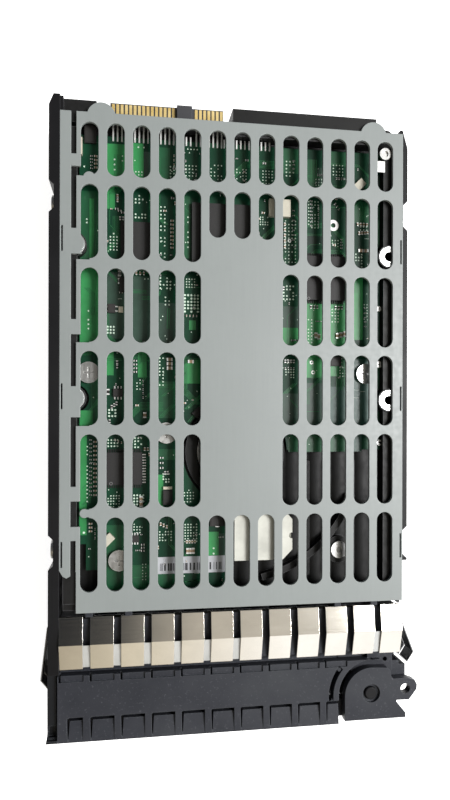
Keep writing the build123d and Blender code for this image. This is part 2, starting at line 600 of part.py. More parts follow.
with BuildPart() as shock_sensors:
    for x, y in ((38.7, 54.6), (-38.0, -53.6)):
        with Locations(Location((x, y, PCB_Z[1] + 0.7), (0, 0, 45))):
            Box(3.6, 2.4, 1.4)
    chip((10.0, 16.6), (43.5, 48.7), 1.6)
shock_sensors.part.label = "shock_sensors"

with BuildPart() as foam_pad:
    prism([(-0.6, -46.9), (0.6, -45.6), (14.6, -45.6), (17.2, -48.4), (17.2, -57.6), (14.2, -60.6), (-0.6, -60.6)],
          (CASE_OUTER_FLOOR, 25.6))
    post(17.0, -53.4, 0.9, (24.0, 26.0), mode=Mode.SUBTRACT)
foam_pad.part.label = "foam_pad"

# ---- drive: rear connector ------------------------------------------------------
POWER_CONTACTS = [-36.7 + 1.27 * k for k in range(15)]
SIGNAL_CONTACTS = [-12.1 + 1.27 * k for k in range(7)]
TONGUE_Z = (21.2, 22.7)
with BuildPart() as sas_connector:
    block((-41.2, -1.7), (68.3, 70.3), (19.8, 25.6))
    block((-37.6, -3.9), (70.3, 75.2), TONGUE_Z)
    block((-18.0, -13.5), (70.3, 75.2), (21.2, 24.4))
    block((-41.2, -38.9), (70.3, 74.0), (19.8, 24.8))
sas_connector.part.label = "sas_connector"

with BuildPart() as connector_contacts:
    for x in POWER_CONTACTS + SIGNAL_CONTACTS:
        block((x - 0.42, x + 0.42), (70.3, 74.9), (TONGUE_Z[1], TONGUE_Z[1] + 0.12))
        block((x - 0.22, x + 0.22), (63.6, 68.3), (PCB_Z[1], PCB_Z[1] + 0.25))
connector_contacts.part.label = "connector_contacts"

# ---- drive: spindle motor --------------------------------------------------------
with BuildPart() as spindle_shaft:
    post(*SPINDLE, 2.0, (1.6, 20.4))
spindle_shaft.part.label = "spindle_shaft"

with BuildPart() as bearing_sleeve:
    ring(SPINDLE, 2.05, 4.2, (4.0, 18.6))
bearing_sleeve.part.label = "bearing_sleeve"

with BuildPart() as spindle_hub:
    post(*SPINDLE, 5.4, (4.0, 18.6))
    post(*SPINDLE, PLATTER_BORE, (3.4, 17.4))
    post(*SPINDLE, 14.6, (PLATTER_Z[-1] + PLATTER_THICK, 16.6))
    with BuildSketch(Plane.XY.offset(8.4)):
        with Locations(SPINDLE):
            Circle(11.0)
            Circle(5.4, mode=Mode.SUBTRACT)
    extrude(amount=9.2, mode=Mode.SUBTRACT)
    post(*SPINDLE, 4.2, (0.0, 20.0), mode=Mode.SUBTRACT)
spindle_hub.part.label = "spindle_hub"

with BuildPart() as stator_core:
    ring(SPINDLE, 6.9, 7.7, (11.4, 15.6))
    for k in range(9):
        with Locations(Location((*polar(SPINDLE, 8.6, 40 * k), 13.5), (0, 0, 40 * k))):
            Box(2.4, 0.9, 4.2)
        with Locations(Location((*polar(SPINDLE, 9.6, 40 * k), 13.5), (0, 0, 40 * k))):
            Box(0.5, 4.2, 4.2)
stator_core.part.label = "stator_core"

with BuildPart() as stator_coils:
    for k in range(9):
        with Locations(Location((*polar(SPINDLE, 8.62, 40 * k), 13.5), (0, 0, 40 * k))):
            Box(1.3, 2.4, 5.4)
            Box(2.0, 0.9, 4.2, mode=Mode.SUBTRACT)
stator_coils.part.label = "stator_coils"

with BuildPart() as rotor_magnet:
    ring(SPINDLE, 10.3, 11.0, (10.8, 16.2))
rotor_magnet.part.label = "rotor_magnet"

with BuildPart() as platters:
    for z in PLATTER_Z:
        ring(SPINDLE, PLATTER_BORE, PLATTER_RADIUS, (z, z + PLATTER_THICK))
platters.part.label = "platters"

with BuildPart() as platter_spacers:
    for z in PLATTER_Z[:-1]:
        ring(SPINDLE, PLATTER_BORE, 15.0, (z + PLATTER_THICK, z + 3.2))
platter_spacers.part.label = "platter_spacers"

with BuildPart() as platter_clamp:
    ring(SPINDLE, 6.0, 15.0, (2.6, 3.4))
    ring(SPINDLE, PLATTER_BORE, 15.0, (3.2, PLATTER_Z[0]))
    for k in range(6):
        post(*polar(SPINDLE, 9.0, 60 * k), 1.05, (2.0, 4.5), mode=Mode.SUBTRACT)
platter_clamp.part.label = "platter_clamp"

with BuildPart() as clamp_screws:
    for k in range(6):
        post(*polar(SPINDLE, 9.0, 60 * k), 1.6, (1.9, 2.6))
        post(*polar(SPINDLE, 9.0, 60 * k), 1.0, (2.5, 3.4))
clamp_screws.part.label = "clamp_screws"

# ---- drive: head actuator ----------------------------------------------------------
with BuildPart() as pivot_shaft:
    post(*ACTUATOR, 2.5, (1.4, 20.4))
pivot_shaft.part.label = "pivot_shaft"

with BuildPart() as pivot_bearing:
    ring(ACTUATOR, 2.55, 5.0, (2.6, 17.0))
pivot_bearing.part.label = "pivot_bearing"


def along_arm(reach, offset=0.0, angle=PARK_ANGLE):
    """A point on the parked arm's line, set off sideways to its left."""
    x, y = polar(ACTUATOR, reach, angle)
    return (x - offset * sin(radians(angle)), y + offset * cos(radians(angle)))


with BuildPart() as actuator_arm:
    post(*ACTUATOR, 7.4, (2.4, 17.2))
    for z in ARM_Z:
        prism(
            [along_arm(4.0, 7.0), along_arm(37.0, 2.8), along_arm(37.0, -2.8), along_arm(4.0, -7.0)],
            (z - 0.4, z + 0.4),
        )
        for reach, radius in ((14.0, 3.2), (23.0, 2.4)):
            post(*along_arm(reach), radius, (z - 1.0, z + 1.0), mode=Mode.SUBTRACT)
    for offset in (-11.5, 11.5):
        prism(
            [along_arm(-4.0, offset * 0.4), along_arm(-17.0, offset * 0.92), along_arm(-29.0, offset),
             along_arm(-29.0, offset * 0.88), along_arm(-17.0, offset * 0.78), along_arm(-4.0, offset * 0.15)],
            (8.9, 11.7),
        )
    post(*ACTUATOR, 5.0, (0.0, 20.0), mode=Mode.SUBTRACT)
actuator_arm.part.label = "actuator_arm"

with BuildPart() as voice_coil:
    prism([along_arm(-17.0, 8.8), along_arm(-29.5, 10.0), along_arm(-29.5, -10.0), along_arm(-17.0, -8.8)],
          (9.1, 11.5))
    prism([along_arm(-20.0, 5.6), along_arm(-26.8, 6.6), along_arm(-26.8, -6.6), along_arm(-20.0, -5.6)],
          (8.0, 12.0), mode=Mode.SUBTRACT)
voice_coil.part.label = "voice_coil"

HEAD_SIDES = [(z, 1) for z in ARM_Z[:-1]] + [(z, -1) for z in ARM_Z[1:]]
with BuildPart() as suspensions:
    for z, side in HEAD_SIDES:
        flat = sorted((z + side * 0.4, z + side * 0.55))
        prism(
            [along_arm(33.0, 2.2), along_arm(HEAD_REACH, 0.7), along_arm(HEAD_REACH + 1.5, 0.5),
             along_arm(HEAD_REACH + 1.5, -0.5), along_arm(HEAD_REACH, -0.7), along_arm(33.0, -2.2)],
            flat,
        )
suspensions.part.label = "suspensions"

with BuildPart() as head_sliders:
    for z, side in HEAD_SIDES:
        with Locations(Location((*along_arm(HEAD_REACH), z + side * 0.68), (0, 0, PARK_ANGLE))):
            Box(1.2, 1.0, 0.26)
head_sliders.part.label = "head_sliders"

with BuildPart() as parking_ramp:
    with Locations(Location((*along_arm(HEAD_REACH + 3.6, -2.2), 10.3), (0, 0, PARK_ANGLE))):
        Box(3.4, 7.4, 15.6)
    post(*along_arm(HEAD_REACH + 3.6, -3.0), 1.6, (10.0, CASE_CEILING))
parking_ramp.part.label = "parking_ramp"

YOKE_ANGLES = (14.0, 82.0)
with BuildPart() as magnet_yokes:
    for z in ((3.2, 5.2), (15.4, 17.4)):
        sector(ACTUATOR, 15.0, 35.0, *YOKE_ANGLES, z)
    for angle in (20.0, 76.0):
        post(*polar(ACTUATOR, 33.4, angle), 1.5, (5.2, 15.4))
        post(*polar(ACTUATOR, 33.4, angle), 1.5, (17.4, CASE_CEILING))
magnet_yokes.part.label = "magnet_yokes"

with BuildPart() as voice_coil_magnets:
    for z in ((5.2, 7.6), (13.0, 15.4)):
        for start, stop in ((19.0, 47.5), (48.5, 77.0)):
            sector(ACTUATOR, 16.5, 30.5, start, stop, z)
voice_coil_magnets.part.label = "voice_coil_magnets"

with BuildPart() as crash_stops:
    for angle in (-2.0, 99.0):
        post(*polar(ACTUATOR, 25.0, angle), 1.6, (8.0, CASE_CEILING))
crash_stops.part.label = "crash_stops"

with BuildPart() as flex_connector:
    block((-38.0, -18.0), (52.0, 60.0), (12.0, CASE_CEILING))
    block((-36.0, -20.0), (54.0, 58.0), (10.8, 12.0))
flex_connector.part.label = "flex_connector"

with BuildPart() as actuator_flex:
    side_profile([(40.0, 11.0), (52.0, 11.0), (52.0, 15.0), (40.0, 15.0)], (-19.2, -19.0))
    block((-19.2, -6.5), (40.0, 40.2), (11.0, 15.0))
actuator_flex.part.label = "actuator_flex"

with BuildPart() as air_filter:
    block((37.5, 44.5), (2.5, 12.5), (3.0, 18.0))
air_filter.part.label = "air_filter"

with BuildPart() as breather_filter:
    post(-30.0, 52.0, 5.0, (1.7, 4.5))
breather_filter.part.label = "breather_filter"

# ---- write every piece ---------------------------------------------------------------
PIECES = [
    slotted_plate, left_rail, right_rail, side_screws, light_pipes, bezel, front_grille,
    emi_gasket_upper, emi_gasket_lower, emi_gasket_sides, ejector_lever, pivot_pin, lever_spring,
    release_button, button_spring, base_casting, top_cover, cover_gasket, cover_screws, drive_label,
    circuit_board, board_insulator, board_screws, controller_chip, buffer_memory_chip,
    flash_memory_chip, motor_driver_chip, shock_sensors, foam_pad, sas_connector, connector_contacts,
    spindle_shaft, bearing_sleeve, spindle_hub, stator_core, stator_coils, rotor_magnet, platters,
    platter_spacers, platter_clamp, clamp_screws, pivot_shaft, pivot_bearing, actuator_arm,
    voice_coil, suspensions, head_sliders, parking_ramp, magnet_yokes, voice_coil_magnets,
    crash_stops, flex_connector, actuator_flex, air_filter, breather_filter,
]
os.makedirs("parts", exist_ok=True)
for piece in PIECES:
    export_step(piece.part, f"parts/{piece.part.label}.step")
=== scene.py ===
import json
import math
import random

import bmesh
import bpy
from mathutils import Matrix, Vector


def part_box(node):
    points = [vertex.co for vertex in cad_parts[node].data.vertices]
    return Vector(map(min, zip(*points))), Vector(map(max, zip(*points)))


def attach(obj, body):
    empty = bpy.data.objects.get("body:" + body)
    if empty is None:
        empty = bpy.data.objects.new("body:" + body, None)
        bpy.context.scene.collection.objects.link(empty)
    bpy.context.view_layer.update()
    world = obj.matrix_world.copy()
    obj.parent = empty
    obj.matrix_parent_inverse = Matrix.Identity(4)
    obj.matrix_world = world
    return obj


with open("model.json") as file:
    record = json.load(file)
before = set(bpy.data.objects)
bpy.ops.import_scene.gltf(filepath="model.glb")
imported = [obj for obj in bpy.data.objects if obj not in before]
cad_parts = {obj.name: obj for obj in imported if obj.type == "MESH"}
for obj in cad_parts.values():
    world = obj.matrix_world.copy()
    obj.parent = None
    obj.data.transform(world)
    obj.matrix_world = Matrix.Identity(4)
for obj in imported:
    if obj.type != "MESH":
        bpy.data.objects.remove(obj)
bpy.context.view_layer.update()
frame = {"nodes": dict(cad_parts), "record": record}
nodes = frame["nodes"]

MM = 0.001
# heights, places and sizes in millimetres
BOARD_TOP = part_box("circuit_board")[1][2] / MM
CASTING_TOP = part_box("base_casting")[1][2] / MM
SPINDLE = (0.0, -28.0)
MOTOR_RADIUS = 16.0
random.seed(11)


# ---- node materials ---------------------------------------------------------
class Shader:
    """Builds one procedural material; positions are object coordinates, in metres."""

    def __init__(self, name, colour, roughness, metallic=0.0):
        self.material = bpy.data.materials.new(name)
        self.material.use_nodes = True
        self.nodes = self.material.node_tree.nodes
        self.links = self.material.node_tree.links
        self.bsdf = self.nodes["Principled BSDF"]
        self.bsdf.inputs["Base Color"].default_value = (*colour, 1.0)
        self.bsdf.inputs["Roughness"].default_value = roughness
        self.bsdf.inputs["Metallic"].default_value = metallic
        self.material.diffuse_color = (*colour, 1.0)
        self.place = self.nodes.new("ShaderNodeTexCoord").outputs["Object"]
        self.colour = None
        self.rough = None
        self.height = None

    def stretched(self, scale):
        mapping = self.nodes.new("ShaderNodeMapping")
        mapping.inputs["Scale"].default_value = scale
        self.links.new(self.place, mapping.inputs["Vector"])
        return mapping.outputs["Vector"]

    def noise(self, scale, detail=4.0, roughness=0.6, stretch=None):
        node = self.nodes.new("ShaderNodeTexNoise")
        node.inputs["Scale"].default_value = scale
        node.inputs["Detail"].default_value = detail
        node.inputs["Roughness"].default_value = roughness
        source = self.stretched(stretch) if stretch else self.place
        self.links.new(source, node.inputs["Vector"])
        return node.outputs["Fac"]

    def cells(self, scale):
        node = self.nodes.new("ShaderNodeTexVoronoi")
        node.inputs["Scale"].default_value = scale
        self.links.new(self.place, node.inputs["Vector"])
        return node.outputs["Color"]

    def ramp(self, value, stops):
        node = self.nodes.new("ShaderNodeValToRGB")
        elements = node.color_ramp.elements
        while len(elements) < len(stops):
            elements.new(0.5)
        for element, (position, colour) in zip(elements, stops):
            element.position = position
            element.color = (*colour, 1.0) if len(colour) == 3 else colour
        self.links.new(value, node.inputs["Fac"])
        return node.outputs["Color"]

    def grey_ramp(self, value, stops):
        return self.ramp(value, [(p, (v, v, v)) for p, v in stops])

    def mix(self, factor, low, high, blend="MIX"):
        node = self.nodes.new("ShaderNodeMix")
        node.data_type = "RGBA"
        node.blend_type = blend
        for socket, value in ((node.inputs[0], factor), (node.inputs[6], low), (node.inputs[7], high)):
            if isinstance(value, (int, float)):
                socket.default_value = value
            elif isinstance(value, tuple):
                socket.default_value = (*value, 1.0)
            else:
                self.links.new(value, socket)
        return node.outputs[2]

    def compare(self, axis, operation, limit):
        """1 where the object coordinate is on the wanted side of a limit in metres."""
        split = self.nodes.new("ShaderNodeSeparateXYZ")
        self.links.new(self.place, split.inputs[0])
        node = self.nodes.new("ShaderNodeMath")
        node.operation = operation
        node.inputs[1].default_value = limit
        self.links.new(split.outputs[axis], node.inputs[0])
        return node.outputs[0]

    def both(self, first, second):
        node = self.nodes.new("ShaderNodeMath")
        node.operation = "MULTIPLY"
        self.links.new(first, node.inputs[0])
        self.links.new(second, node.inputs[1])
        return node.outputs[0]

    def edges(self, radius=0.0004):
        """About 1 beside sharp edges and 0 on flat faces."""
        bevel = self.nodes.new("ShaderNodeBevel")
        bevel.samples = 4
        bevel.inputs["Radius"].default_value = radius
        geometry = self.nodes.new("ShaderNodeNewGeometry")
        dot = self.nodes.new("ShaderNodeVectorMath")
        dot.operation = "DOT_PRODUCT"
        self.links.new(bevel.outputs["Normal"], dot.inputs[0])
        self.links.new(geometry.outputs["Normal"], dot.inputs[1])
        return self.grey_ramp(dot.outputs["Value"], [(0.90, 1.0), (0.995, 0.0)])

    def finish(self, bump_strength=0.2, bump_distance=0.0001, round_edges=0.0):
        if self.colour is not None:
            self.links.new(self.colour, self.bsdf.inputs["Base Color"])
        if self.rough is not None:
            self.links.new(self.rough, self.bsdf.inputs["Roughness"])
        normal = None
        if round_edges:
            bevel = self.nodes.new("ShaderNodeBevel")
            bevel.samples = 4
            bevel.inputs["Radius"].default_value = round_edges
            normal = bevel.outputs["Normal"]
        if self.height is not None:
            bump = self.nodes.new("ShaderNodeBump")
            bump.inputs["Strength"].default_value = bump_strength
            bump.inputs["Distance"].default_value = bump_distance
            self.links.new(self.height, bump.inputs["Height"])
            if normal is not None:
                self.links.new(normal, bump.inputs["Normal"])
            normal = bump.outputs["Normal"]
        if normal is not None:
            self.links.new(normal, self.bsdf.inputs["Normal"])
        return self.material


def scaled(colour, factor):
    return tuple(min(1.0, c * factor) for c in colour)


def grained_metal(name, colour, roughness, metallic=1.0, grain=(1.0, 1.0, 1.0), edge_wear_and_glint=None):
    """Metal with a cloudy colour, a fine grain in its roughness and, where asked for, lighter edges: worn
    edges on the screw heads, a painted glint on the side spring.
    """
    s = Shader(name, colour, roughness, metallic)
    cloud = s.noise(60.0, 5.0)
    grain_value = s.noise(900.0, 6.0, 0.7, stretch=grain)
    s.colour = s.ramp(cloud, [(0.3, scaled(colour, 0.88)), (0.7, scaled(colour, 1.12))])
    if edge_wear_and_glint:
        # lighter edges: worn edges on the screw heads, painted glint along the edges of the side spring
        s.colour = s.mix(s.edges(), s.colour, edge_wear_and_glint)
    s.rough = s.grey_ramp(grain_value, [(0.3, roughness * 0.8), (0.7, min(1.0, roughness * 1.25))])
    s.height = grain_value
    return s.finish(bump_strength=0.12, bump_distance=0.00003)


def moulded_plastic(name, colour, roughness, speckle, specular=0.5):
    """Fine spark-eroded texture with pale specks and lightly polished edges."""
    s = Shader(name, colour, roughness)
    s.bsdf.inputs["Specular IOR Level"].default_value = specular
    grain_value = s.noise(2600.0, 3.0, 0.7)
    cloud = s.noise(45.0, 4.0)
    base = s.ramp(cloud, [(0.3, scaled(colour, 0.86)), (0.7, scaled(colour, 1.16))])
    specks = s.grey_ramp(s.noise(1560.0, 2.0, 0.8), [(0.62, 0.0), (0.74, speckle)])
    s.colour = s.mix(specks, base, scaled(colour, 2.6))
    s.colour = s.mix(s.edges(0.00035), s.colour, scaled(colour, 1.8))
    s.rough = s.grey_ramp(cloud, [(0.3, roughness * 0.9), (0.7, min(1.0, roughness * 1.15))])
    s.height = grain_value
    return s.finish(bump_strength=0.35, bump_distance=0.00006, round_edges=0.0003)


def plate_paint():
    """Grey-green coated sheet: even, with faint mottling, fine scratches and bright cut edges."""
    colour = (0.262, 0.286, 0.282)
    s = Shader("slotted_plate_steel", colour, 0.42, 0.0)
    cloud = s.noise(22.0, 4.0, 0.55)
    orange_peel = s.noise(700.0, 3.0, 0.5)
    scratches = s.noise(160.0, 8.0, 0.75, stretch=(9.0, 0.4, 1.0))
    base = s.ramp(cloud, [(0.3, scaled(colour, 0.955)), (0.7, scaled(colour, 1.045))])
    fine = s.ramp(scratches, [(0.25, (0.93, 0.93, 0.93)), (0.75, (1.05, 1.05, 1.05))])
    s.colour = s.mix(0.5, base, s.mix(1.0, base, fine, "MULTIPLY"))
    s.colour = s.mix(s.edges(0.0003), s.colour, scaled(colour, 1.28))
    s.rough = s.grey_ramp(orange_peel, [(0.3, 0.36), (0.7, 0.5)])
    s.height = orange_peel
    s.bsdf.inputs["Specular IOR Level"].default_value = 0.55
    return s.finish(bump_strength=0.10, bump_distance=0.00004, round_edges=0.00025)


def spring_strip():
    """Bright rolled spring strip, slightly warm; its base strip behind the fingers is coloured near-black
    as painted shade.
    """
    colour = (0.80, 0.765, 0.70)
    s = Shader("shielding_spring_strip", colour, 0.24, 1.0)
    lines = s.noise(2200.0, 5.0, 0.7, stretch=(0.03, 1.0, 1.0))
    cloud = s.noise(90.0, 4.0)
    polished = s.ramp(cloud, [(0.3, scaled(colour, 0.94)), (0.7, scaled(colour, 1.06))])
    # painted shade: the low base strip behind the fingers is coloured near-black, standing in for the
    # shadow under the fingers
    shaded_base_strip = s.both(s.compare("Y", "GREATER_THAN", -0.0762), s.compare("Z", "LESS_THAN", 0.02595))
    s.colour = s.mix(shaded_base_strip, polished, (0.012, 0.012, 0.012))
    s.rough = s.grey_ramp(lines, [(0.3, 0.10), (0.7, 0.15)])
    s.height = lines
    return s.finish(bump_strength=0.02, bump_distance=0.00002, round_edges=0.0002)


def solder_mask():
    """Green solder mask: patches and clouds of lighter green over dark laminate."""
    dark = (0.003, 0.036, 0.018)
    s = Shader("solder_mask_green", dark, 0.34)
    cloud = s.noise(70.0, 3.0)
    regions = s.cells(110.0)
    region_value = s.grey_ramp(regions, [(0.2, 0.0), (0.9, 0.65)])
    base = s.mix(region_value, dark, (0.005, 0.060, 0.027))
    base = s.mix(s.grey_ramp(cloud, [(0.35, 0.0), (0.75, 0.5)]), base, (0.008, 0.080, 0.035))
    weave = s.noise(1500.0, 2.0)
    s.colour = base
    s.rough = s.grey_ramp(weave, [(0.3, 0.28), (0.7, 0.42)])
    s.height = weave
    s.bsdf.inputs["Specular IOR Level"].default_value = 0.3
    return s.finish(bump_strength=0.10, bump_distance=0.00003)


def platter_mirror():
    """Polished disk surface with a faint haze."""
    s = Shader("disk_mirror", (0.82, 0.82, 0.84), 0.05, 1.0)
    s.rough = s.grey_ramp(s.noise(300.0, 3.0), [(0.3, 0.03), (0.7, 0.08)])
    return s.finish()


def printed_label():
    """White label with generic grey blocks and bars, no lettering."""
    s = Shader("generic_label_print", (0.82, 0.82, 0.80), 0.5)
    wave = s.nodes.new("ShaderNodeTexWave")
    wave.inputs["Scale"].default_value = 260.0
    wave.inputs["Distortion"].default_value = 3.0
    s.links.new(s.place, wave.inputs["Vector"])
    bars = s.grey_ramp(wave.outputs["Fac"], [(0.45, 0.0), (0.5, 1.0)])
    patch = s.grey_ramp(s.cells(60.0), [(0.60, 0.0), (0.62, 1.0)])
    ink = s.mix(patch, (0.82, 0.82, 0.80), s.mix(bars, (0.82, 0.82, 0.80), (0.10, 0.10, 0.11)))
    s.colour = ink
    s.height = s.noise(1500.0, 3.0)
    return s.finish(bump_strength=0.05, bump_distance=0.00002)


def clear_plastic():
    """Clear moulding of the light pipes."""
    s = Shader("light_pipe_clear", (0.86, 0.89, 0.92), 0.12)
    s.rough = s.grey_ramp(s.noise(400.0, 3.0), [(0.3, 0.08), (0.7, 0.2)])
    s.bsdf.inputs["Transmission Weight"].default_value = 0.75
    s.bsdf.inputs["IOR"].default_value = 1.58
    return s.finish()


def contact_metal():
    """Gold-plated contacts; their rear tails, ahead of the connector body, are tinned."""
    s = Shader("contact_gold", (0.90, 0.68, 0.26), 0.34, 0.45)
    tails = s.compare("Y", "LESS_THAN", 0.069)
    cloud = s.noise(260.0, 4.0)
    gold = s.ramp(cloud, [(0.3, (0.84, 0.60, 0.20)), (0.7, (0.96, 0.76, 0.36))])
    s.colour = s.mix(tails, gold, (0.86, 0.86, 0.84))
    s.rough = s.grey_ramp(cloud, [(0.3, 0.25), (0.7, 0.4)])
    return s.finish(round_edges=0.00006)


def bezel_mould():
    """Charcoal moulding with pale specks; the lower band down its left side is blacker."""
    colour = (0.028, 0.031, 0.039)
    s = Shader("bezel_charcoal", colour, 0.48)
    s.bsdf.inputs["Specular IOR Level"].default_value = 0.28
    grain_value = s.noise(2600.0, 3.0, 0.7)
    cloud = s.noise(38.0, 5.0)
    shades = [(0.3, (0.020, 0.022, 0.029)), (0.5, (0.028, 0.030, 0.038)), (0.7, (0.038, 0.041, 0.048))]
    base = s.ramp(cloud, shades)
    specks = s.grey_ramp(s.noise(1100.0, 2.0, 0.8), [(0.60, 0.0), (0.72, 0.40)])
    base = s.mix(specks, base, (0.115, 0.118, 0.135))
    base = s.mix(s.compare("X", "LESS_THAN", -0.0522), base, (0.006, 0.007, 0.009))
    s.colour = s.mix(s.edges(0.00035), base, (0.062, 0.066, 0.076))
    s.rough = s.grey_ramp(cloud, [(0.3, 0.40), (0.7, 0.54)])
    s.height = grain_value
    return s.finish(bump_strength=0.35, bump_distance=0.00006, round_edges=0.0003)


def epoxy(name, colour):
    """Moulded chip package: sandblasted, with a faint cloud."""
    s = Shader(name, colour, 0.55)
    grain_value = s.noise(3000.0, 3.0)
    s.colour = s.ramp(s.noise(150.0, 4.0), [(0.3, scaled(colour, 0.85)), (0.7, scaled(colour, 1.15))])
    s.rough = s.grey_ramp(grain_value, [(0.3, 0.5), (0.7, 0.66)])
    s.height = grain_value
    return s.finish(bump_strength=0.25, bump_distance=0.00003)


def die_casting():
    """Black-coated casting with rough skin, bare on its edges."""
    colour = (0.007, 0.007, 0.007)
    s = Shader("casting_black", colour, 0.55)
    s.bsdf.inputs["Specular IOR Level"].default_value = 0.3
    skin = s.noise(500.0, 5.0, 0.65)
    s.colour = s.ramp(s.noise(90.0, 4.0), [(0.3, scaled(colour, 0.7)), (0.75, scaled(colour, 1.5))])
    s.colour = s.mix(s.edges(0.0003), s.colour, (0.10, 0.10, 0.105))
    s.rough = s.grey_ramp(skin, [(0.3, 0.38), (0.7, 0.62)])
    s.height = skin
    return s.finish(bump_strength=0.3, bump_distance=0.00008)


def make_materials():
    steel = grained_metal("screw_zinc", (0.62, 0.62, 0.61), 0.32, edge_wear_and_glint=(0.85, 0.85, 0.84))
    made = {
        "plate_steel": plate_paint(),
        "carrier_plastic": moulded_plastic("carrier_black", (0.006, 0.006, 0.007), 0.45, 0.12, 0.22),
        "bezel_plastic": bezel_mould(),
        "button_plastic": moulded_plastic("button_burgundy", (0.20, 0.010, 0.030), 0.40, 0.15),
        "light_pipe": clear_plastic(),
        "spring_steel": spring_strip(),
        "screw_steel": steel,
        "casting": die_casting(),
        "cover_steel": grained_metal("cover_stainless", (0.60, 0.61, 0.62), 0.3, grain=(0.05, 1.0, 1.0)),
        "gasket_rubber": epoxy("gasket_elastomer", (0.015, 0.015, 0.016)),
        "label_paper": printed_label(),
        "board": solder_mask(),
        "chip_epoxy": epoxy("chip_epoxy_dark", (0.013, 0.012, 0.012)),
        "sensor_ceramic": epoxy("sensor_cream", (0.54, 0.51, 0.42)),
        "pad_foam": epoxy("pad_cream", (0.60, 0.60, 0.54)),
        "connector_plastic": moulded_plastic("connector_grey", (0.045, 0.046, 0.052), 0.5, 0.1),
        "contact_gold": contact_metal(),
        "platter": platter_mirror(),
        "machined_aluminium": grained_metal("machined_aluminium", (0.70, 0.70, 0.72), 0.3),
        "magnet": grained_metal("magnet_nickel", (0.58, 0.57, 0.56), 0.22),
        "copper": grained_metal("winding_copper", (0.66, 0.27, 0.12), 0.35, grain=(1.0, 1.0, 0.1)),
        "flex": epoxy("flex_amber", (0.40, 0.17, 0.03)),
        "filter_cloth": epoxy("filter_white", (0.78, 0.78, 0.76)),
    }
    return made


materials = make_materials()
# painted reflection: the chrome side spring is coloured dark grey as if reflecting dark surroundings, and
# its edges carry a painted glint
painted_reflection_side_spring = grained_metal("side_spring_painted_dark_reflection", (0.16, 0.16, 0.165), 0.42, edge_wear_and_glint=(0.36, 0.36, 0.36))
slot_of = {entry["node"]: entry["material_slot"] for entry in frame["record"]["subparts"]}
for name, obj in nodes.items():
    finish = painted_reflection_side_spring if name == "emi_gasket_sides" else materials[slot_of[name]]
    obj.data.materials.clear()
    obj.data.materials.append(finish)


# ---- mesh helpers -------------------------------------------------------------
def new_mesh(name, bm, finishes, body):
    """Turns a bmesh into a flat-shaded piece that rides on a body."""
    mesh = bpy.data.meshes.new(name)
    bm.to_mesh(mesh)
    bm.free()
    for finish in finishes:
        mesh.materials.append(finish)
    obj = bpy.data.objects.new(name, mesh)
    bpy.context.scene.collection.objects.link(obj)
    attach(obj, body)
    return obj


def add_box(bm, centre, size, turn=0.0, finish=0):
    """A box in millimetres, turned about Z by degrees."""
    matrix = (
        Matrix.Translation(Vector(centre) * MM)
        @ Matrix.Rotation(math.radians(turn), 4, "Z")
        @ Matrix.Diagonal((size[0] * MM, size[1] * MM, size[2] * MM, 1.0))
    )
    made = bmesh.ops.create_cube(bm, size=1.0, matrix=matrix)
    for face in {f for v in made["verts"] for f in v.link_faces}:
        face.material_index = finish


def add_disc(bm, centre, radius, height, sides=12, finish=0):
    """A disc in millimetres, standing on its centre's height."""
    made = bmesh.ops.create_cone(
        bm, cap_ends=True, segments=sides, radius1=radius * MM, radius2=radius * MM, depth=height * MM,
        matrix=Matrix.Translation(Vector((centre[0], centre[1], centre[2] + height / 2)) * MM),
    )
    for face in {f for v in made["verts"] for f in v.link_faces}:
        face.material_index = finish


def add_washer(bm, centre, inner, outer, height, sides=48, finish=0):
    """A flat ring in millimetres, standing on its centre's height."""
    rings = []
    for z in (centre[2], centre[2] + height):
        for radius in (inner, outer):
            rings.append([
                bm.verts.new((
                    (centre[0] + radius * math.cos(2 * math.pi * k / sides)) * MM,
                    (centre[1] + radius * math.sin(2 * math.pi * k / sides)) * MM,
                    z * MM,
                ))
                for k in range(sides)
            ])
    low_in, low_out, top_in, top_out = rings
    for a, b in ((low_out, low_in), (top_in, top_out), (low_in, top_in), (top_out, low_out)):
        for k in range(sides):
            face = bm.faces.new((a[k], a[(k + 1) % sides], b[(k + 1) % sides], b[k]))
            face.material_index = finish


# ---- what stands on the circuit board ------------------------------------------
CHIPS = ["controller_chip", "buffer_memory_chip", "flash_memory_chip", "motor_driver_chip", "foam_pad"]
BOARD_SCREW_PLACES = [(-43.6, -4.6), (-34.7, -59.7), (-21.0, -22.3), (40.9, -4.0)]
CORNER_SCREW = (46.4, 64.0)
SENSOR_PLACES = [(38.7, 54.6), (-38.0, -53.6), (13.3, 46.1)]
# left, right, front and rear
BOARD_AREA = (-45.6, 45.1, -69.0, 63.0)
COPPER_AREA = (-46.2, 45.6, -69.8, 64.8)
BOARD_HOLES = [(side * 47.6, y) for side in (-1, 1) for y in (32.2, -12.2)]


def chip_rects(margin):
    """The chips' outlines, widened by a margin."""
    rects = []
    for chip in CHIPS:
        (x0, y0, _), (x1, y1, _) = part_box(chip)
        rects.append((x0 / MM - margin, y0 / MM - margin, x1 / MM + margin, y1 / MM + margin))
    return rects


def on_board(x, y, margin=0.6):
    """Whether a point lies on bare board, clear of the chips, screws and cut-outs."""
    left, right, front, rear = BOARD_AREA
    if not (left < x < right and front < y < rear):
        return False
    if x > -2.6 and y < -26.7:
        return False
    if (x < -40.2 and y < -61.8) or (x < -43.7 and y < -54.2):
        return False
    if math.dist((x, y), CORNER_SCREW) < 3.0:
        return False
    if math.dist((x, y), SPINDLE) < MOTOR_RADIUS + margin:
        return False
    if any(math.dist((x, y), place) < 4.4 for place in BOARD_SCREW_PLACES):
        return False
    if any(math.dist((x, y), place) < 3.4 for place in SENSOR_PLACES):
        return False
    if any(math.dist((x, y), hole) < 5.2 for hole in BOARD_HOLES):
        return False
    return not any(x0 < x < x1 and y0 < y < y1 for x0, y0, x1, y1 in chip_rects(margin))


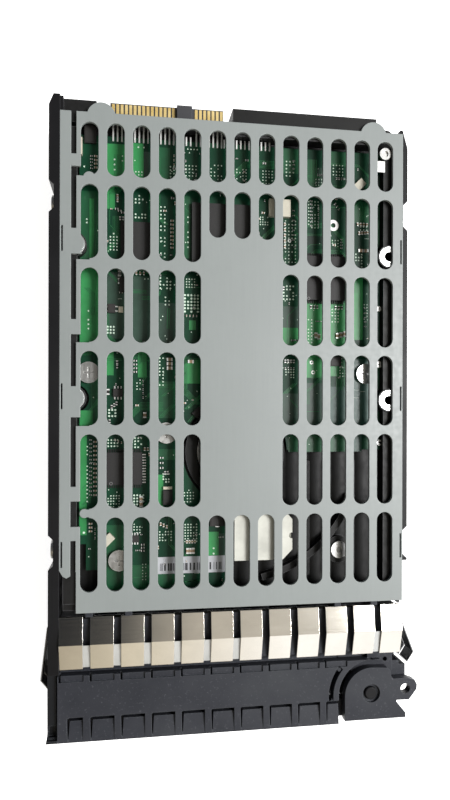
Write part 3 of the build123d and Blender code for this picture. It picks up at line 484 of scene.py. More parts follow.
part_body = epoxy("part_body_dark", (0.018, 0.016, 0.015))
part_tan = epoxy("part_body_tan", (0.34, 0.24, 0.15))
part_grey = epoxy("part_body_grey", (0.15, 0.15, 0.15))
part_cream = epoxy("part_cream", (0.74, 0.68, 0.55))
solder = grained_metal("solder_bright", (0.86, 0.86, 0.84), 0.36, metallic=0.35)
silk = epoxy("silkscreen_white", (0.62, 0.70, 0.62))
via_pale = grained_metal("via_tinned", (0.70, 0.86, 0.72), 0.45, metallic=0.0)


def mask_over_copper(name, colour, roughness=0.34):
    s = Shader(name, colour, roughness)
    s.colour = s.ramp(s.noise(120.0, 4.0), [(0.3, scaled(colour, 0.82)), (0.7, scaled(colour, 1.18))])
    s.rough = s.grey_ramp(s.noise(900.0, 3.0), [(0.3, roughness * 0.85), (0.7, roughness * 1.2)])
    return s.finish()


BRIGHT, MEDIUM, MILKY, TEAL, DEEP = range(5)
copper_finishes = [
    mask_over_copper("copper_pour_bright", (0.034, 0.270, 0.080)),
    mask_over_copper("copper_pour_medium", (0.010, 0.092, 0.036)),
    mask_over_copper("copper_pour_milky", (0.030, 0.068, 0.047)),
    mask_over_copper("copper_pour_teal", (0.024, 0.078, 0.060)),
    mask_over_copper("copper_pour_deep", (0.003, 0.026, 0.014)),
]
track_finish = mask_over_copper("track_green", (0.020, 0.160, 0.056))

# The slots of the plate form a grid of thirteen columns and six rows; what stands on the board
# is set out by the slot it lies under.  u runs -1 to 1 across a slot and v runs -1 to 1 along it.
SLOT_ROWS = [(51.9, 67.2), (28.0, 49.4), (4.0, 25.4), (-20.0, 1.4), (-44.0, -22.6), (-68.0, -46.6)]
SLOT_PITCH, SLOT_CENTRE, SLOT_HALF_WIDTH = 7.43, 1.3, 2.5
EYE = (-32.6, -17.8, 217.6)
DEPTH_SHIFT = 0.021


def under_slot(column, row, u, v):
    """The board point seen at (u, v) of a slot from above the drive's middle."""
    low, high = SLOT_ROWS[row - 1]
    x = SLOT_CENTRE + (column - 7) * SLOT_PITCH + u * SLOT_HALF_WIDTH
    y = (low + high) / 2 + v * (high - low) / 2
    return (x + (x - EYE[0]) * DEPTH_SHIFT, y + (y - EYE[1]) * DEPTH_SHIFT)


PATCHES = [
    (2, 1, -1.3, 1.3, -1.4, 0.22, BRIGHT), (3, 1, -1.3, 0.2, -1.2, 0.3, BRIGHT),
    (3, 1, 0.2, 1.4, -1.2, 0.0, MILKY), (4, 1, -1.2, 0.3, -1.2, 0.2, MEDIUM),
    (9, 1, -1.3, 1.3, -0.5, 0.55, MEDIUM), (10, 1, -1.2, 0.0, -1.3, 0.1, MEDIUM),
    (10, 1, 0.0, 1.3, -1.2, -0.2, MILKY), (11, 1, -1.2, 1.2, -0.1, 0.6, MEDIUM),
    (13, 1, -1.2, -0.2, -1.2, 0.0, DEEP), (1, 2, -1.4, 1.3, -1.2, 0.8, MEDIUM),
    (1, 2, 0.0, 0.5, -1.0, 0.6, BRIGHT), (2, 2, -1.2, -0.1, 0.35, 1.0, BRIGHT),
    (5, 2, -1.0, -0.3, -0.9, 0.8, MEDIUM), (10, 2, -1.1, 1.1, -0.4, -0.1, DEEP),
    (12, 2, -1.2, 1.2, 0.3, 0.9, MEDIUM), (13, 2, -1.2, -0.1, -0.3, 0.4, MEDIUM),
    (1, 3, -1.6, 1.4, -1.2, 1.1, BRIGHT), (2, 3, -1.1, 1.2, -0.9, 0.9, MILKY),
    (3, 3, -1.2, 1.2, -1.1, 0.8, MILKY), (4, 3, -1.2, 1.2, -1.1, 0.1, MILKY),
    (5, 3, -0.4, 0.4, -0.62, -0.36, BRIGHT), (9, 3, -1.1, 1.2, -0.6, 0.1, MILKY),
    (9, 3, -1.2, 1.2, -1.1, -0.5, BRIGHT), (10, 3, -1.2, 1.2, -1.1, 0.25, BRIGHT),
    (11, 3, -1.2, 0.8, -1.1, 0.25, BRIGHT), (12, 3, -1.2, 0.1, -0.8, 1.0, BRIGHT),
    (13, 3, -1.3, -0.4, -0.9, 1.0, TEAL), (1, 4, 0.2, 1.2, -1.0, 0.3, MEDIUM),
    (1, 4, -1.4, 0.4, -1.1, -0.6, BRIGHT), (2, 4, -1.2, -0.2, 0.35, 1.0, BRIGHT),
    (3, 4, -0.4, 0.6, 0.3, 1.0, BRIGHT), (4, 4, -1.2, 1.2, -0.8, 0.2, MEDIUM),
    (5, 4, -1.2, 1.3, 0.15, 0.8, BRIGHT), (9, 4, -1.1, 1.2, -1.2, -0.1, MILKY),
    (10, 4, -1.2, 1.2, 0.35, 1.0, BRIGHT), (10, 4, -1.1, 1.2, -1.2, 0.2, MILKY),
    (11, 4, -1.2, 0.0, 0.4, 0.9, BRIGHT), (11, 4, -1.1, 1.2, -1.2, 0.1, TEAL),
    (12, 4, -1.2, 1.2, -1.2, 0.9, TEAL), (1, 5, -1.9, -0.25, -1.7, 1.0, BRIGHT),
    (4, 5, -1.2, -0.4, -1.0, -0.1, BRIGHT), (4, 5, -1.0, 1.0, 0.3, 0.6, MEDIUM),
    (9, 5, -0.3, 1.2, 0.5, 1.2, MEDIUM), (10, 5, -1.2, 1.2, 0.5, 1.2, MEDIUM),
    (11, 5, -1.2, 1.2, 0.5, 1.2, MEDIUM), (12, 5, -1.2, 0.0, 0.5, 1.2, TEAL),
    (2, 6, -1.1, 1.1, -1.0, 0.8, MEDIUM), (4, 6, -1.2, 1.2, -1.2, -0.55, MEDIUM),
    (6, 6, -1.2, 0.2, -0.1, 0.55, BRIGHT), (6, 6, 0.2, 1.2, -0.1, 0.5, MILKY),
    (3, 6, -1.2, 1.2, -1.1, -0.3, MEDIUM),
]

# column, row, first u and v, count across and along, pitch in mm, radius in mm
VIA_GRIDS = [
    (2, 1, -0.15, -0.75, 1, 4, 1.5, 0.26), (2, 1, 0.75, -0.4, 1, 2, 1.4, 0.22),
    (3, 1, -0.7, -0.9, 3, 2, 0.9, 0.22), (3, 1, -0.4, 0.15, 3, 1, 0.8, 0.25),
    (4, 1, 0.35, -0.9, 2, 4, 1.0, 0.22), (5, 1, -0.6, 0.2, 4, 2, 0.95, 0.2),
    (5, 1, -0.8, -0.95, 4, 5, 1.0, 0.2), (6, 1, -0.8, -0.9, 4, 5, 1.05, 0.2),
    (7, 1, -0.7, -0.95, 4, 5, 0.95, 0.2), (8, 1, -0.5, -0.95, 4, 5, 0.95, 0.2),
    (9, 1, -0.6, -0.6, 3, 5, 1.1, 0.24), (10, 1, 0.1, -0.9, 3, 3, 0.9, 0.18),
    (11, 1, -0.7, -0.45, 4, 4, 1.0, 0.19), (1, 1, -0.6, -0.7, 1, 2, 1.6, 0.25),
    (1, 2, -0.3, -0.05, 1, 2, 1.0, 0.25), (2, 2, -0.6, -0.75, 3, 6, 0.95, 0.24),
    (3, 2, -0.7, 0.15, 4, 2, 0.95, 0.26), (3, 2, -0.7, 0.55, 3, 3, 1.05, 0.26),
    (4, 2, -0.75, -0.9, 2, 14, 1.15, 0.24), (5, 2, -0.55, -0.6, 1, 7, 1.5, 0.24),
    (8, 2, -0.8, 0.12, 4, 4, 0.75, 0.2), (9, 2, -0.7, -0.9, 4, 13, 1.05, 0.2),
    (10, 2, -0.8, 0.1, 4, 9, 1.0, 0.2), (11, 2, -0.8, -0.4, 3, 3, 0.9, 0.18),
    (12, 2, -0.8, -0.95, 3, 5, 0.95, 0.24), (12, 2, -0.2, 0.1, 3, 3, 1.0, 0.2),
    (1, 3, -0.1, -0.65, 1, 5, 1.3, 0.26), (2, 3, -0.9, -0.75, 3, 3, 0.9, 0.3),
    (4, 3, -0.8, 0.5, 4, 4, 1.0, 0.26), (4, 3, -0.2, 0.05, 2, 3, 1.1, 0.24),
    (5, 3, -0.9, -0.12, 5, 6, 0.98, 0.33), (5, 3, -0.7, 0.55, 4, 4, 0.8, 0.2),
    (9, 3, -0.9, 0.3, 4, 5, 1.0, 0.28), (10, 3, -0.8, -0.9, 2, 8, 1.0, 0.22),
    (11, 3, -0.8, -0.3, 3, 5, 0.95, 0.24), (12, 3, 0.3, -0.2, 3, 6, 0.9, 0.16),
    (2, 4, -0.7, -0.75, 3, 3, 0.9, 0.3), (3, 4, -0.5, -0.1, 2, 5, 0.9, 0.2),
    (4, 4, -0.85, 0.1, 2, 9, 1.0, 0.24), (9, 4, -0.6, 0.35, 4, 4, 0.8, 0.22),
    (11, 4, 0.2, 0.4, 3, 4, 0.9, 0.2), (1, 5, -0.2, -0.8, 1, 15, 1.15, 0.22),
    (2, 5, -0.8, 0.6, 4, 4, 0.9, 0.24), (2, 5, -0.8, -0.95, 5, 5, 0.8, 0.2),
    (3, 5, -0.8, -0.9, 4, 4, 0.9, 0.28), (3, 5, -0.7, 0.65, 3, 4, 0.9, 0.26),
    (4, 5, -0.4, -0.3, 3, 4, 0.8, 0.26), (5, 5, -0.9, -0.85, 4, 4, 0.9, 0.2),
    (3, 6, -0.8, 0.5, 3, 4, 0.85, 0.22), (3, 6, 0.2, -0.7, 2, 6, 0.9, 0.16),
    (4, 6, -0.8, 0.35, 5, 4, 0.85, 0.22), (5, 6, -0.8, 0.3, 5, 7, 0.85, 0.22),
    (1, 6, -0.55, 0.5, 1, 2, 1.2, 0.35), (6, 6, -0.4, -0.05, 1, 3, 1.6, 0.3),
]

# column, row, first u and v, count, step across and along in mm, turn, size kind, body
SMALL, MID, LARGE = (0.6, 0.32, 0.3), (1.0, 0.52, 0.4), (1.7, 0.95, 0.6)
DARK, TAN, GREY = 0, 1, 2
PART_ROWS = [
    (1, 1, 0.2, -0.3, 5, 0.0, -0.9, 0, SMALL, DARK), (1, 1, 0.7, -0.3, 4, 0.0, -1.1, 0, MID, TAN),
    (4, 1, 0.75, -0.1, 3, 0.0, -1.3, 90, SMALL, TAN), (9, 1, 0.3, 0.0, 3, 0.0, -1.2, 0, SMALL, DARK),
    (10, 1, 0.3, -0.5, 3, 0.7, 0.0, 90, SMALL, DARK), (11, 1, -0.3, -0.6, 4, 0.8, 0.0, 90, SMALL, GREY),
    (2, 2, 0.2, 0.7, 2, 0.0, -1.3, 90, MID, TAN), (2, 2, 0.1, 0.35, 3, 0.9, -0.5, 0, MID, DARK),
    (2, 2, 0.5, 0.1, 2, 0.9, 0.0, 90, MID, GREY), (4, 2, 0.55, 0.1, 8, 0.0, -1.15, 0, MID, TAN),
    (8, 2, 0.2, -0.35, 4, 0.75, 0.0, 90, SMALL, DARK),
    (8, 2, -0.2, -0.75, 4, 0.7, 0.0, 90, SMALL, GREY), (9, 2, 0.3, 0.55, 7, 0.0, -1.5, 0, SMALL, DARK),
    (9, 2, -0.8, 0.15, 5, 0.0, -1.7, 90, MID, TAN), (10, 2, -0.5, 0.85, 8, 0.0, -1.1, 0, SMALL, DARK),
    (10, 2, 0.4, 0.7, 6, 0.0, -1.2, 90, SMALL, DARK), (11, 2, -0.5, 0.8, 3, 0.6, -0.8, 45, SMALL, DARK),
    (11, 2, 0.3, -0.2, 4, 0.0, -0.9, 0, SMALL, GREY), (12, 2, -0.6, 0.25, 4, 1.0, 0.0, 90, MID, TAN),
    (12, 2, -0.4, 0.0, 4, 0.9, 0.1, 90, MID, TAN), (12, 2, -0.2, -0.5, 2, 1.5, 0.0, 0, LARGE, TAN),
    (2, 3, 0.45, 0.85, 2, 0.0, -2.2, 90, LARGE, GREY), (2, 3, 0.6, 0.35, 1, 0.0, 0.0, 0, MID, DARK),
    (3, 3, -0.6, 0.88, 3, 1.1, 0.0, 90, MID, TAN), (5, 3, -0.7, -0.24, 4, 1.0, 0.0, 90, SMALL, TAN),
    (9, 3, 0.2, -0.85, 2, 1.3, 0.0, 0, MID, DARK), (10, 3, -0.5, 0.1, 3, 1.0, 0.0, 90, MID, DARK),
    (10, 3, 0.1, -0.7, 2, 0.9, -0.4, 90, LARGE, TAN), (10, 3, 0.2, -0.3, 3, 0.9, 0.0, 0, SMALL, DARK),
    (11, 3, -0.2, -0.7, 3, 1.2, 0.3, 90, LARGE, TAN), (11, 3, -0.4, 0.1, 3, 1.0, 0.0, 90, MID, DARK),
    (12, 3, 0.4, 0.1, 5, 0.0, -1.4, 0, SMALL, DARK), (2, 4, 0.2, 0.7, 2, 0.0, -1.2, 90, MID, DARK),
    (2, 4, -0.85, -0.1, 1, 0.0, 0.0, 90, LARGE, DARK), (2, 4, -0.4, -0.5, 3, 0.7, 0.5, 90, MID, DARK),
    (3, 4, -0.7, 0.75, 4, 0.0, -1.1, 0, MID, DARK), (3, 4, 0.2, 0.2, 5, 0.0, -1.2, 90, SMALL, DARK),
    (3, 4, 0.4, -0.72, 1, 0.0, 0.0, 90, LARGE, TAN), (4, 4, 0.3, 0.8, 3, 0.0, -1.3, 0, LARGE, TAN),
    (5, 4, -0.2, 0.75, 1, 0.0, 0.0, 0, LARGE, TAN), (9, 4, -0.7, 0.8, 4, 0.9, 0.0, 90, MID, GREY),
    (9, 4, -0.7, 0.6, 4, 0.9, 0.0, 90, SMALL, DARK), (11, 4, 0.3, 0.9, 3, 0.0, -1.2, 0, SMALL, DARK),
    (1, 5, 0.2, 0.85, 15, 0.0, -1.15, 0, SMALL, DARK), (1, 5, 0.7, 0.8, 13, 0.0, -1.3, 0, MID, TAN),
    (4, 5, -0.6, 0.36, 3, 0.0, -1.5, 0, MID, DARK), (4, 5, -0.2, -0.05, 2, 0.8, 0.0, 90, MID, GREY),
    (3, 5, 0.0, -0.75, 2, 0.0, -1.5, 90, LARGE, TAN), (3, 5, 0.4, 0.6, 2, 0.9, 0.0, 90, MID, TAN),
    (2, 5, 0.0, 0.85, 3, 0.9, -0.4, 90, SMALL, TAN), (1, 6, 0.2, 0.85, 3, 0.0, -1.1, 0, MID, TAN),
    (1, 6, 0.7, 0.7, 3, 0.0, -1.3, 90, SMALL, DARK), (3, 6, 0.2, 0.25, 3, 0.0, -0.9, 0, MID, DARK),
    (3, 6, -0.5, 0.1, 2, 1.0, 0.0, 0, SMALL, DARK), (4, 6, -0.7, 0.8, 3, 0.9, -0.4, 90, MID, TAN),
    (5, 6, -0.5, 0.05, 3, 0.8, 0.0, 90, LARGE, TAN), (5, 6, -0.6, 0.3, 4, 0.8, 0.0, 90, MID, TAN),
    (6, 6, 0.3, 0.4, 2, 1.0, 0.0, 0, SMALL, GREY),
]

# small packages: column, row, u, v, length, width, turn, leads a side
PACKAGES = [
    (1, 1, 0.1, 0.5, 3.4, 5.4, 0, 0), (2, 3, -0.45, -0.1, 2.6, 2.2, 90, 2),
    (2, 4, 0.3, -0.12, 2.8, 2.4, 0, 3), (3, 6, -0.7, 0.42, 2.4, 2.0, 0, 3),
    (11, 4, -0.45, 0.82, 3.4, 3.0, 0, 0), (4, 5, 0.1, -0.72, 2.8, 4.4, 0, 0),
    (2, 3, 0.75, 0.55, 1.6, 4.5, 0, 0), (6, 6, 0.0, 0.88, 4.4, 3.6, 0, 0),
    (5, 4, 0.9, -0.7, 3.0, 4.0, 45, 0),
]

# loose tracks: column, row, u, v of the first point, run and slant in mm, number side by side
SLANTS = [
    (4, 4, -0.8, -0.75, 3.4, 3.4, 3), (4, 4, -0.6, -0.2, 3.0, 2.6, 2), (5, 4, -0.9, -0.55, 4.6, 4.2, 3),
    (5, 4, -0.5, -0.9, 4.0, 5.0, 2), (3, 4, -0.2, 0.1, 1.6, 2.6, 2), (4, 5, -0.8, 0.45, 2.6, 2.6, 2),
    (9, 4, -0.9, -0.1, 3.0, 3.0, 3), (1, 4, -0.2, -0.6, 2.6, 3.6, 3), (12, 4, -0.6, -0.6, 1.4, 8.0, 2),
    (1, 2, 0.2, -0.9, 0.6, 12.0, 3), (4, 1, 0.1, -0.9, 0.0, 9.0, 2), (6, 1, -0.2, -0.2, 0.8, 4.0, 3),
    (7, 1, -0.2, 0.0, 0.4, 3.0, 3), (10, 1, -0.5, -0.8, 0.0, 7.0, 4), (12, 2, -0.4, 0.4, 0.6, 4.0, 4),
    (12, 1, -0.2, -0.3, 0.0, 5.0, 3), (8, 1, 0.1, 0.0, 0.2, 3.2, 3), (2, 6, -0.6, -0.9, 0.8, 6.0, 3),
    (3, 6, 0.1, -0.9, 0.0, 5.0, 3), (5, 6, -0.8, -0.8, 3.4, 0.3, 3), (4, 3, 0.0, -0.6, 0.2, 6.0, 2),
]


def copper_areas():
    """Copper areas under the mask, as thin raised sheets."""
    bm = bmesh.new()
    for level, (column, row, u0, u1, v0, v1, finish) in enumerate(PATCHES):
        x0, y0 = under_slot(column, row, u0, v0)
        x1, y1 = under_slot(column, row, u1, v1)
        if not on_board_edge(x0, x1, y0, y1):
            continue
        left, right, front, rear = COPPER_AREA
        x0, x1, y0, y1 = max(x0, left), min(x1, right), max(y0, front), min(y1, rear)
        thick = 0.016 + 0.0006 * level
        centre = ((x0 + x1) / 2, (y0 + y1) / 2, BOARD_TOP + thick / 2)
        add_box(bm, centre, (x1 - x0, y1 - y0, thick), 0, finish)
    return new_mesh("board_copper_areas", bm, copper_finishes, "carrier")


def on_board_edge(x0, x1, y0, y1):
    """Whether a rectangle starts on the board at all."""
    if x0 > 45.2 or y0 > 64.0:
        return False
    return not (x1 > -1.8 and y1 < -27.5)


def add_run(bm, points, width, height, finish=0):
    """Straight track segments between points, with square ends."""
    for (ax, ay), (bx, by) in zip(points, points[1:]):
        length = math.hypot(bx - ax, by - ay)
        if length < 0.05:
            continue
        turn = math.degrees(math.atan2(by - ay, bx - ax))
        centre = ((ax + bx) / 2, (ay + by) / 2, BOARD_TOP + height / 2)
        add_box(bm, centre, (length + width * 0.8, width, height), turn, finish)


def tracks():
    """Bundles of parallel tracks with 45 degree bends, and the slanting ones between parts."""
    bm = bmesh.new()
    for _ in range(170):
        x, y = random.uniform(-44, 42), random.uniform(-67, 62)
        heading = random.choice((0, 90, 180, 270))
        bend = random.choice((-45, 45))
        count = random.choice((1, 2, 3, 4, 6))
        first, second = random.uniform(3, 11), random.uniform(2, 9)
        for k in range(count):
            shift = 0.42 * k
            side = math.radians(heading + 90)
            ax, ay = x + shift * math.cos(side), y + shift * math.sin(side)
            bx = ax + first * math.cos(math.radians(heading))
            by = ay + first * math.sin(math.radians(heading))
            cx = bx + second * math.cos(math.radians(heading + bend))
            cy = by + second * math.sin(math.radians(heading + bend))
            if all(on_board(px, py, 0.2) for px, py in ((ax, ay), (bx, by), (cx, cy))):
                add_run(bm, [(ax, ay), (bx, by), (cx, cy)], 0.17, 0.052)
    for column, row, u, v, run, rise, count in SLANTS:
        x, y = under_slot(column, row, u, v)
        for k in range(count):
            points = [(x + 0.55 * k, y), (x + 0.55 * k + run, y + rise)]
            if all(on_board(px, py, 0.1) for px, py in points):
                add_run(bm, points, 0.26, 0.056)
    return new_mesh("board_tracks", bm, [track_finish], "carrier")


def vias():
    """Tinned vias: the grids under and beside the packages, and a loose scatter."""
    bm = bmesh.new()
    spots = []
    for column, row, u, v, across, along, pitch, radius in VIA_GRIDS:
        x, y = under_slot(column, row, u, v)
        grid = [(x + pitch * i, y + pitch * j, radius) for i in range(across) for j in range(along)]
        spots += [spot for spot in grid if random.random() < 0.84]
    for _ in range(260):
        spots.append((random.uniform(-45, 43), random.uniform(-68, 62), random.choice((0.14, 0.18))))
    for x, y, radius in spots:
        if on_board(x, y, 0.2):
            add_disc(bm, (x, y, BOARD_TOP), radius, 0.07, 10)
    return new_mesh("board_vias", bm, [via_pale], "carrier")


# column, row, u, v, inner and outer radius, height
RING_PADS = [
    (9, 2, -0.2, -0.3, 0.28, 0.55, 0.06), (11, 2, -0.75, 0.18, 0.75, 1.7, 0.5),
    (10, 4, -0.4, 0.78, 0.3, 0.6, 0.06), (10, 4, -0.2, 0.5, 0.3, 0.6, 0.06),
    (13, 5, -0.7, 0.75, 0.4, 0.9, 0.3),
    (6, 6, 0.0, 0.8, 0.7, 1.2, 0.9), (13, 4, -0.8, 0.75, 0.3, 1.0, 0.3), (13, 3, -0.85, 0.1, 0.2, 0.8, 0.3),
]


def ring_pads():
    """Bright ring pads: test points and the standing ring beside the motor driver."""
    bm = bmesh.new()
    for column, row, u, v, inner, outer, height in RING_PADS:
        x, y = under_slot(column, row, u, v)
        add_washer(bm, (x, y, BOARD_TOP), inner, outer, height, 32)
    return new_mesh("board_ring_pads", bm, [solder], "carrier")


def add_passive(bm, x, y, turn, size, body):
    """A two-ended chip part: a body with a solder cap at each end."""
    length, width, height = size
    cap = length * 0.24
    add_box(bm, (x, y, BOARD_TOP + height / 2), (length - 2 * cap, width * 0.94, height * 0.96), turn, body)
    for end in (-1, 1):
        reach = end * (length - cap) / 2
        cx = x + reach * math.cos(math.radians(turn))
        cy = y + reach * math.sin(math.radians(turn))
        add_box(bm, (cx, cy, BOARD_TOP + height / 2), (cap, width, height), turn, 3)


def passives():
    """Rows of small resistors and capacitors under the slots, and a light scatter between them."""
    bm = bmesh.new()
    taken = []
    for column, row, u, v, count, across, along, turn, size, body in PART_ROWS:
        x, y = under_slot(column, row, u, v)
        for k in range(count):
            px, py = x + k * across, y + k * along
            if on_board(px, py, 0.5):
                add_passive(bm, px, py, turn, size, body)
                taken.append((px, py, size[0]))
    for _ in range(420):
        px, py = random.uniform(-45, 42.5), random.uniform(-68, 62)
        size = random.choice((SMALL, SMALL, MID))
        if on_board(px, py, 1.0) and all(math.dist((px, py), (a, b)) > r + 0.5 for a, b, r in taken):
            if not on_plain_copper(px, py):
                turn, body = random.choice((0, 90)), random.choice((DARK, TAN, GREY))
                add_passive(bm, px, py, turn, size, body)
                taken.append((px, py, size[0]))
    return new_mesh("board_passives", bm, [part_body, part_tan, part_grey, solder], "carrier")


def on_plain_copper(x, y):
    """Whether a point lies on one of the copper areas, which stay nearly bare."""
    for column, row, u0, u1, v0, v1, _ in PATCHES:
        x0, y0 = under_slot(column, row, u0, v0)
        x1, y1 = under_slot(column, row, u1, v1)
        if x0 < x < x1 and y0 < y < y1:
            return True
    return False


def small_packages():
    """Small dark packages, some with gull-wing leads."""
    bm = bmesh.new()
    for column, row, u, v, length, width, turn, leads in PACKAGES:
        x, y = under_slot(column, row, u, v)
        add_box(bm, (x, y, BOARD_TOP + 0.5), (length, width, 0.9), turn, 0)
        add_box(bm, (x, y, BOARD_TOP + 0.98), (length * 0.86, width * 0.86, 0.1), turn, 0)
        for side in (-1, 1):
            for k in range(leads):
                along = (k - (leads - 1) / 2) * length / leads
                out = side * (width / 2 + 0.35)
                c, s = math.cos(math.radians(turn)), math.sin(math.radians(turn))
                place = (x + along * c - out * s, y + along * s + out * c, BOARD_TOP + 0.12)
                add_box(bm, place, (0.35, 0.8, 0.2), turn, 1)
    # cream end of the long capacitor, white post at the board's rear corner
    x, y = under_slot(4, 5, 0.1, -0.46)
    add_box(bm, (x, y, BOARD_TOP + 0.45), (2.6, 0.8, 0.9), 0, 2)
    x, y = under_slot(1, 1, -0.9, 0.0)
    add_box(bm, (x, y, BOARD_TOP + 0.8), (0.5, 5.0, 1.6), 0, 2)
    x, y = under_slot(2, 3, 0.6, -0.12)
    add_box(bm, (x, y, BOARD_TOP + 0.4), (1.3, 1.7, 0.8), 0, 2)
    return new_mesh("board_small_packages", bm, [part_body, solder, part_cream], "carrier")


def chip_pins():
    """Side pins of the flash chip and the solder tails in line with the rear connector."""
    bm = bmesh.new()
    low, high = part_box("flash_memory_chip")
    for k in range(11):
        y = -36.9 + 0.82 * k
        for x in (low[0] / MM - 0.55, high[0] / MM + 0.55):
            add_box(bm, (x, y, BOARD_TOP + 0.2), (1.0, 0.34, 0.4), 0, 0)
    for k in range(38):
        x = -36.7 + 1.27 * k
        if -18.6 < x < -12.6 or x > -4.0:
            if x < 10.4:
                add_box(bm, (x, 64.9, BOARD_TOP + 0.16), (0.42, 2.6, 0.32), 0, 0)
    # flat spring arm and its foot at the rear right corner
    add_box(bm, (45.0, 60.2, 25.5), (2.9, 3.4, 0.2), 0, 0)
    return new_mesh("chip_pins_and_tails", bm, [solder], "carrier")


def silkscreen():
    """Plain location marks."""
    bm = bmesh.new()
    for _ in range(50):
        x, y = random.uniform(-44, 42), random.uniform(-66, 60)
        if on_board(x, y, 1.2) and on_board(x + 1.5, y, 1.2):
            add_run(bm, [(x, y), (x + random.uniform(0.8, 2.2), y)], 0.1, 0.05)
    return new_mesh("board_silkscreen", bm, [silk], "carrier")


def board_barcode():
    """White label with generic bars."""
    bm = bmesh.new()
    low, high = (-23.6, -64.3), (-2.6, -59.3)
    middle = ((low[0] + high[0]) / 2, (low[1] + high[1]) / 2)
    add_box(bm, (*middle, BOARD_TOP + 0.06), (high[0] - low[0], high[1] - low[1], 0.12), 0, 0)
    x = low[0] + 1.0
    while x < high[0] - 1.2:
        width = random.choice((0.16, 0.28, 0.5))
        add_box(bm, (x, middle[1] - 0.5, BOARD_TOP + 0.13), (width, 2.2, 0.02), 0, 1)
        x += width + random.choice((0.2, 0.34, 0.6))
    white = epoxy("barcode_paper", (0.50, 0.51, 0.54))
    ink = epoxy("barcode_ink", (0.02, 0.02, 0.025))
    return new_mesh("board_barcode_label", bm, [white, ink], "carrier")


def chip_marks():
    """A pin-one dimple on each package."""
    bm = bmesh.new()
    for chip in CHIPS[:4]:
        low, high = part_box(chip)
        top = high[2] / MM
        add_washer(bm, (low[0] / MM + 1.4, low[1] / MM + 1.4, top), 0.3, 0.5, 0.02, 20)
    return new_mesh("chip_marks", bm, [part_grey], "carrier")


copper_areas()
tracks()
vias()
ring_pads()
passives()
small_packages()
chip_pins()
silkscreen()
board_barcode()
chip_marks()


# ---- bright machined faces and casting details ----------------------------------
def machined_rings():
    """Bright faces round the mounting holes and on the motor housing."""
    bm = bmesh.new()
    for hole_y in (32.2, -12.2):
        add_washer(bm, (47.6, hole_y, CASTING_TOP - 0.6), 1.45, 3.1, 0.62)
        add_washer(bm, (-47.6, hole_y, CASTING_TOP - 0.6), 1.45, 3.1, 0.62)
    add_washer(bm, (*SPINDLE, 23.2), 10.5, 11.6, 0.12)
    bright = grained_metal("machined_face_bright", (0.86, 0.87, 0.87), 0.3)
    return new_mesh("machined_ring_faces", bm, [bright], "carrier")


machined_rings()


# ---- webs of the upper shielding spring, between the lower halves of its fingers --
FINGER_FIRST, FINGER_PITCH, FINGER_WIDTH = -51.55, 8.75, 6.65
WEB_GAPS = (0, 1, 2, 3, 4, 5, 10)
WEB_REAR, WEB_FRONT = (-83.2, 27.35), (-89.9, 25.85)


def spring_webs():
    """Thin sloping sheets in the chosen gaps between fingers."""
    bm = bmesh.new()
    for k in WEB_GAPS:
        left = FINGER_FIRST + FINGER_PITCH * k + FINGER_WIDTH - 0.1
        right = FINGER_FIRST + FINGER_PITCH * (k + 1) + 0.1
        rows = []
        for thick in (0.0, -0.2):
            for y, z in (WEB_REAR, WEB_FRONT):
                rows.append([bm.verts.new((x * MM, y * MM, (z + thick) * MM)) for x in (left, right)])
        top_rear, top_front, low_rear, low_front = rows
        sides = ((top_front, top_rear), (low_rear, low_front), (top_rear, low_rear), (low_front, top_front))
        for a, b in sides:
            bm.faces.new((a[0], a[1], b[1], b[0]))
        for end in (0, 1):
            bm.faces.new([row[end] for row in (top_rear, top_front, low_front, low_rear)])
    bmesh.ops.recalc_face_normals(bm, faces=bm.faces)
    web = grained_metal("spring_web_dull", (0.62, 0.63, 0.62), 0.40, metallic=0.5)
    return new_mesh("gasket_upper_webs", bm, [web], "carrier")


spring_webs()


# ---- stage, light and camera ------------------------------------------------------
def stage():
    """A pale floor that glows a little, so that it stays white."""
    bm = bmesh.new()
    bmesh.ops.create_grid(bm, x_segments=1, y_segments=1, size=3.0)
    mesh = bpy.data.meshes.new("floor")
    bm.to_mesh(mesh)
    bm.free()
    floor = bpy.data.objects.new("floor", mesh)
    bpy.context.scene.collection.objects.link(floor)
    pale = Shader("floor_pale", (0.88, 0.88, 0.88), 0.8)
    pale.bsdf.inputs["Emission Color"].default_value = (1.0, 1.0, 1.0, 1.0)
    pale.bsdf.inputs["Emission Strength"].default_value = 0.85
    mesh.materials.append(pale.finish())


def area_light(name, location, target, size, power):
    """A rectangular lamp that faces a target."""
    data = bpy.data.lights.new(name, "AREA")
    data.shape = "RECTANGLE"
    data.size, data.size_y = size
    data.energy = power
    obj = bpy.data.objects.new(name, data)
    obj.location = location
    direction = Vector(target) - Vector(location)
    obj.rotation_euler = direction.to_track_quat("-Z", "Y").to_euler()
    bpy.context.scene.collection.objects.link(obj)


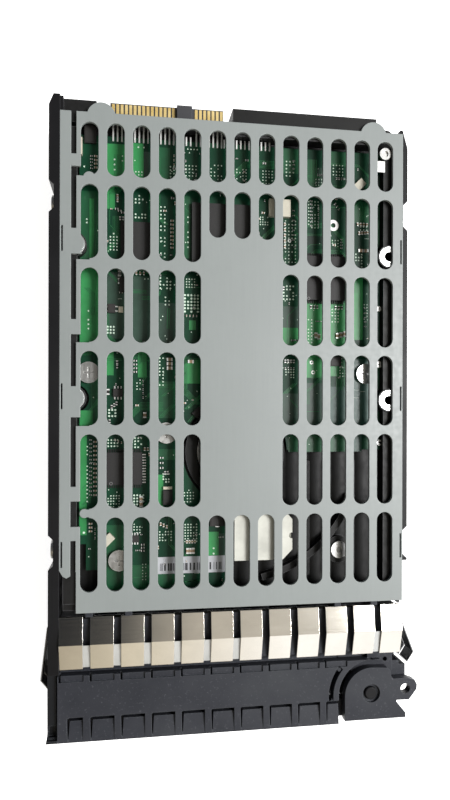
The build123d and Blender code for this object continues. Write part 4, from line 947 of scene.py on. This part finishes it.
def world_light():
    """A room: dim overhead and to the left, warm towards the front, bright to the right."""
    world = bpy.data.worlds.new("studio")
    world.use_nodes = True
    tree = world.node_tree
    background = tree.nodes["Background"]
    split = tree.nodes.new("ShaderNodeSeparateXYZ")
    tree.links.new(tree.nodes.new("ShaderNodeTexCoord").outputs["Generated"], split.inputs[0])

    def spread(axis, low, high):
        node = tree.nodes.new("ShaderNodeMapRange")
        node.interpolation_type = "SMOOTHSTEP"
        node.inputs["From Min"].default_value = low
        node.inputs["From Max"].default_value = high
        tree.links.new(split.outputs[axis], node.inputs["Value"])
        return node.outputs["Result"]

    def ramp(stops):
        across = tree.nodes.new("ShaderNodeMapRange")
        across.inputs["From Min"].default_value = -0.2
        across.inputs["From Max"].default_value = 0.6
        tree.links.new(split.outputs["X"], across.inputs["Value"])
        node = tree.nodes.new("ShaderNodeValToRGB")
        elements = node.color_ramp.elements
        while len(elements) < len(stops):
            elements.new(0.5)
        for element, (x, colour) in zip(elements, stops):
            element.position = (x + 0.2) / 0.8
            element.color = (*colour, 1.0)
        tree.links.new(across.outputs["Result"], node.inputs["Fac"])
        return node.outputs["Color"]

    def mix(factor, low, high):
        node = tree.nodes.new("ShaderNodeMix")
        node.data_type = "RGBA"
        for socket, value in ((node.inputs[0], factor), (node.inputs[6], low), (node.inputs[7], high)):
            tree.links.new(value, socket)
        return node.outputs[2]

    around = ramp([(-0.2, (0.11, 0.12, 0.13)), (0.1, (0.21, 0.21, 0.21)), (0.6, (0.60, 0.60, 0.60))])
    front = ramp([(-0.12, (0.34, 0.30, 0.23)), (0.02, (0.62, 0.57, 0.47)), (0.12, (0.76, 0.73, 0.67)),
                  (0.24, (1.0, 1.0, 1.0))])
    above = ramp([(-0.1, (0.015, 0.016, 0.018)), (0.0, (0.055, 0.055, 0.055)), (0.05, (0.27, 0.255, 0.225)),
                  (0.12, (0.45, 0.42, 0.37)), (0.27, (0.42, 0.40, 0.36)), (0.38, (0.45, 0.44, 0.41))])
    colour = mix(spread("Z", 0.70, 0.88), around, above)
    colour = mix(spread("Y", -0.25, -0.42), colour, front)
    tree.links.new(colour, background.inputs["Color"])
    background.inputs["Strength"].default_value = 1.3
    bpy.context.scene.world = world


def lights():
    """The room and one softbox to the right."""
    world_light()
    area_light("softbox_right", (0.62, 0.05, 0.90), (0.0, 0.0, 0.0), (0.30, 0.45), 12.5)


LENS_MM, SENSOR_MM, SHIFT_UP = 29.25, 36.0, 0.0225
TILT_DEGREES, ROLL_DEGREES = 8.6, 0.13


def camera():
    """Looks down from above the left middle, tilted about Y."""
    data = bpy.data.cameras.new("camera")
    data.lens = LENS_MM
    data.sensor_width = SENSOR_MM
    data.shift_y = SHIFT_UP
    obj = bpy.data.objects.new("camera", data)
    tilt, roll = math.radians(TILT_DEGREES), math.radians(ROLL_DEGREES)
    right = Vector((math.cos(tilt), 0.0, math.sin(tilt)))
    up = Vector((0.0, 1.0, 0.0))
    back = Vector((-math.sin(tilt), 0.0, math.cos(tilt)))
    turn = Matrix((right, up, back)).transposed() @ Matrix.Rotation(roll, 3, "Z")
    obj.matrix_world = Matrix.Translation([value * MM for value in EYE]) @ turn.to_4x4()
    data.clip_start = 0.01
    bpy.context.scene.collection.objects.link(obj)
    bpy.context.scene.camera = obj


stage()
lights()
camera()
bpy.context.scene.view_settings.view_transform = "Standard"
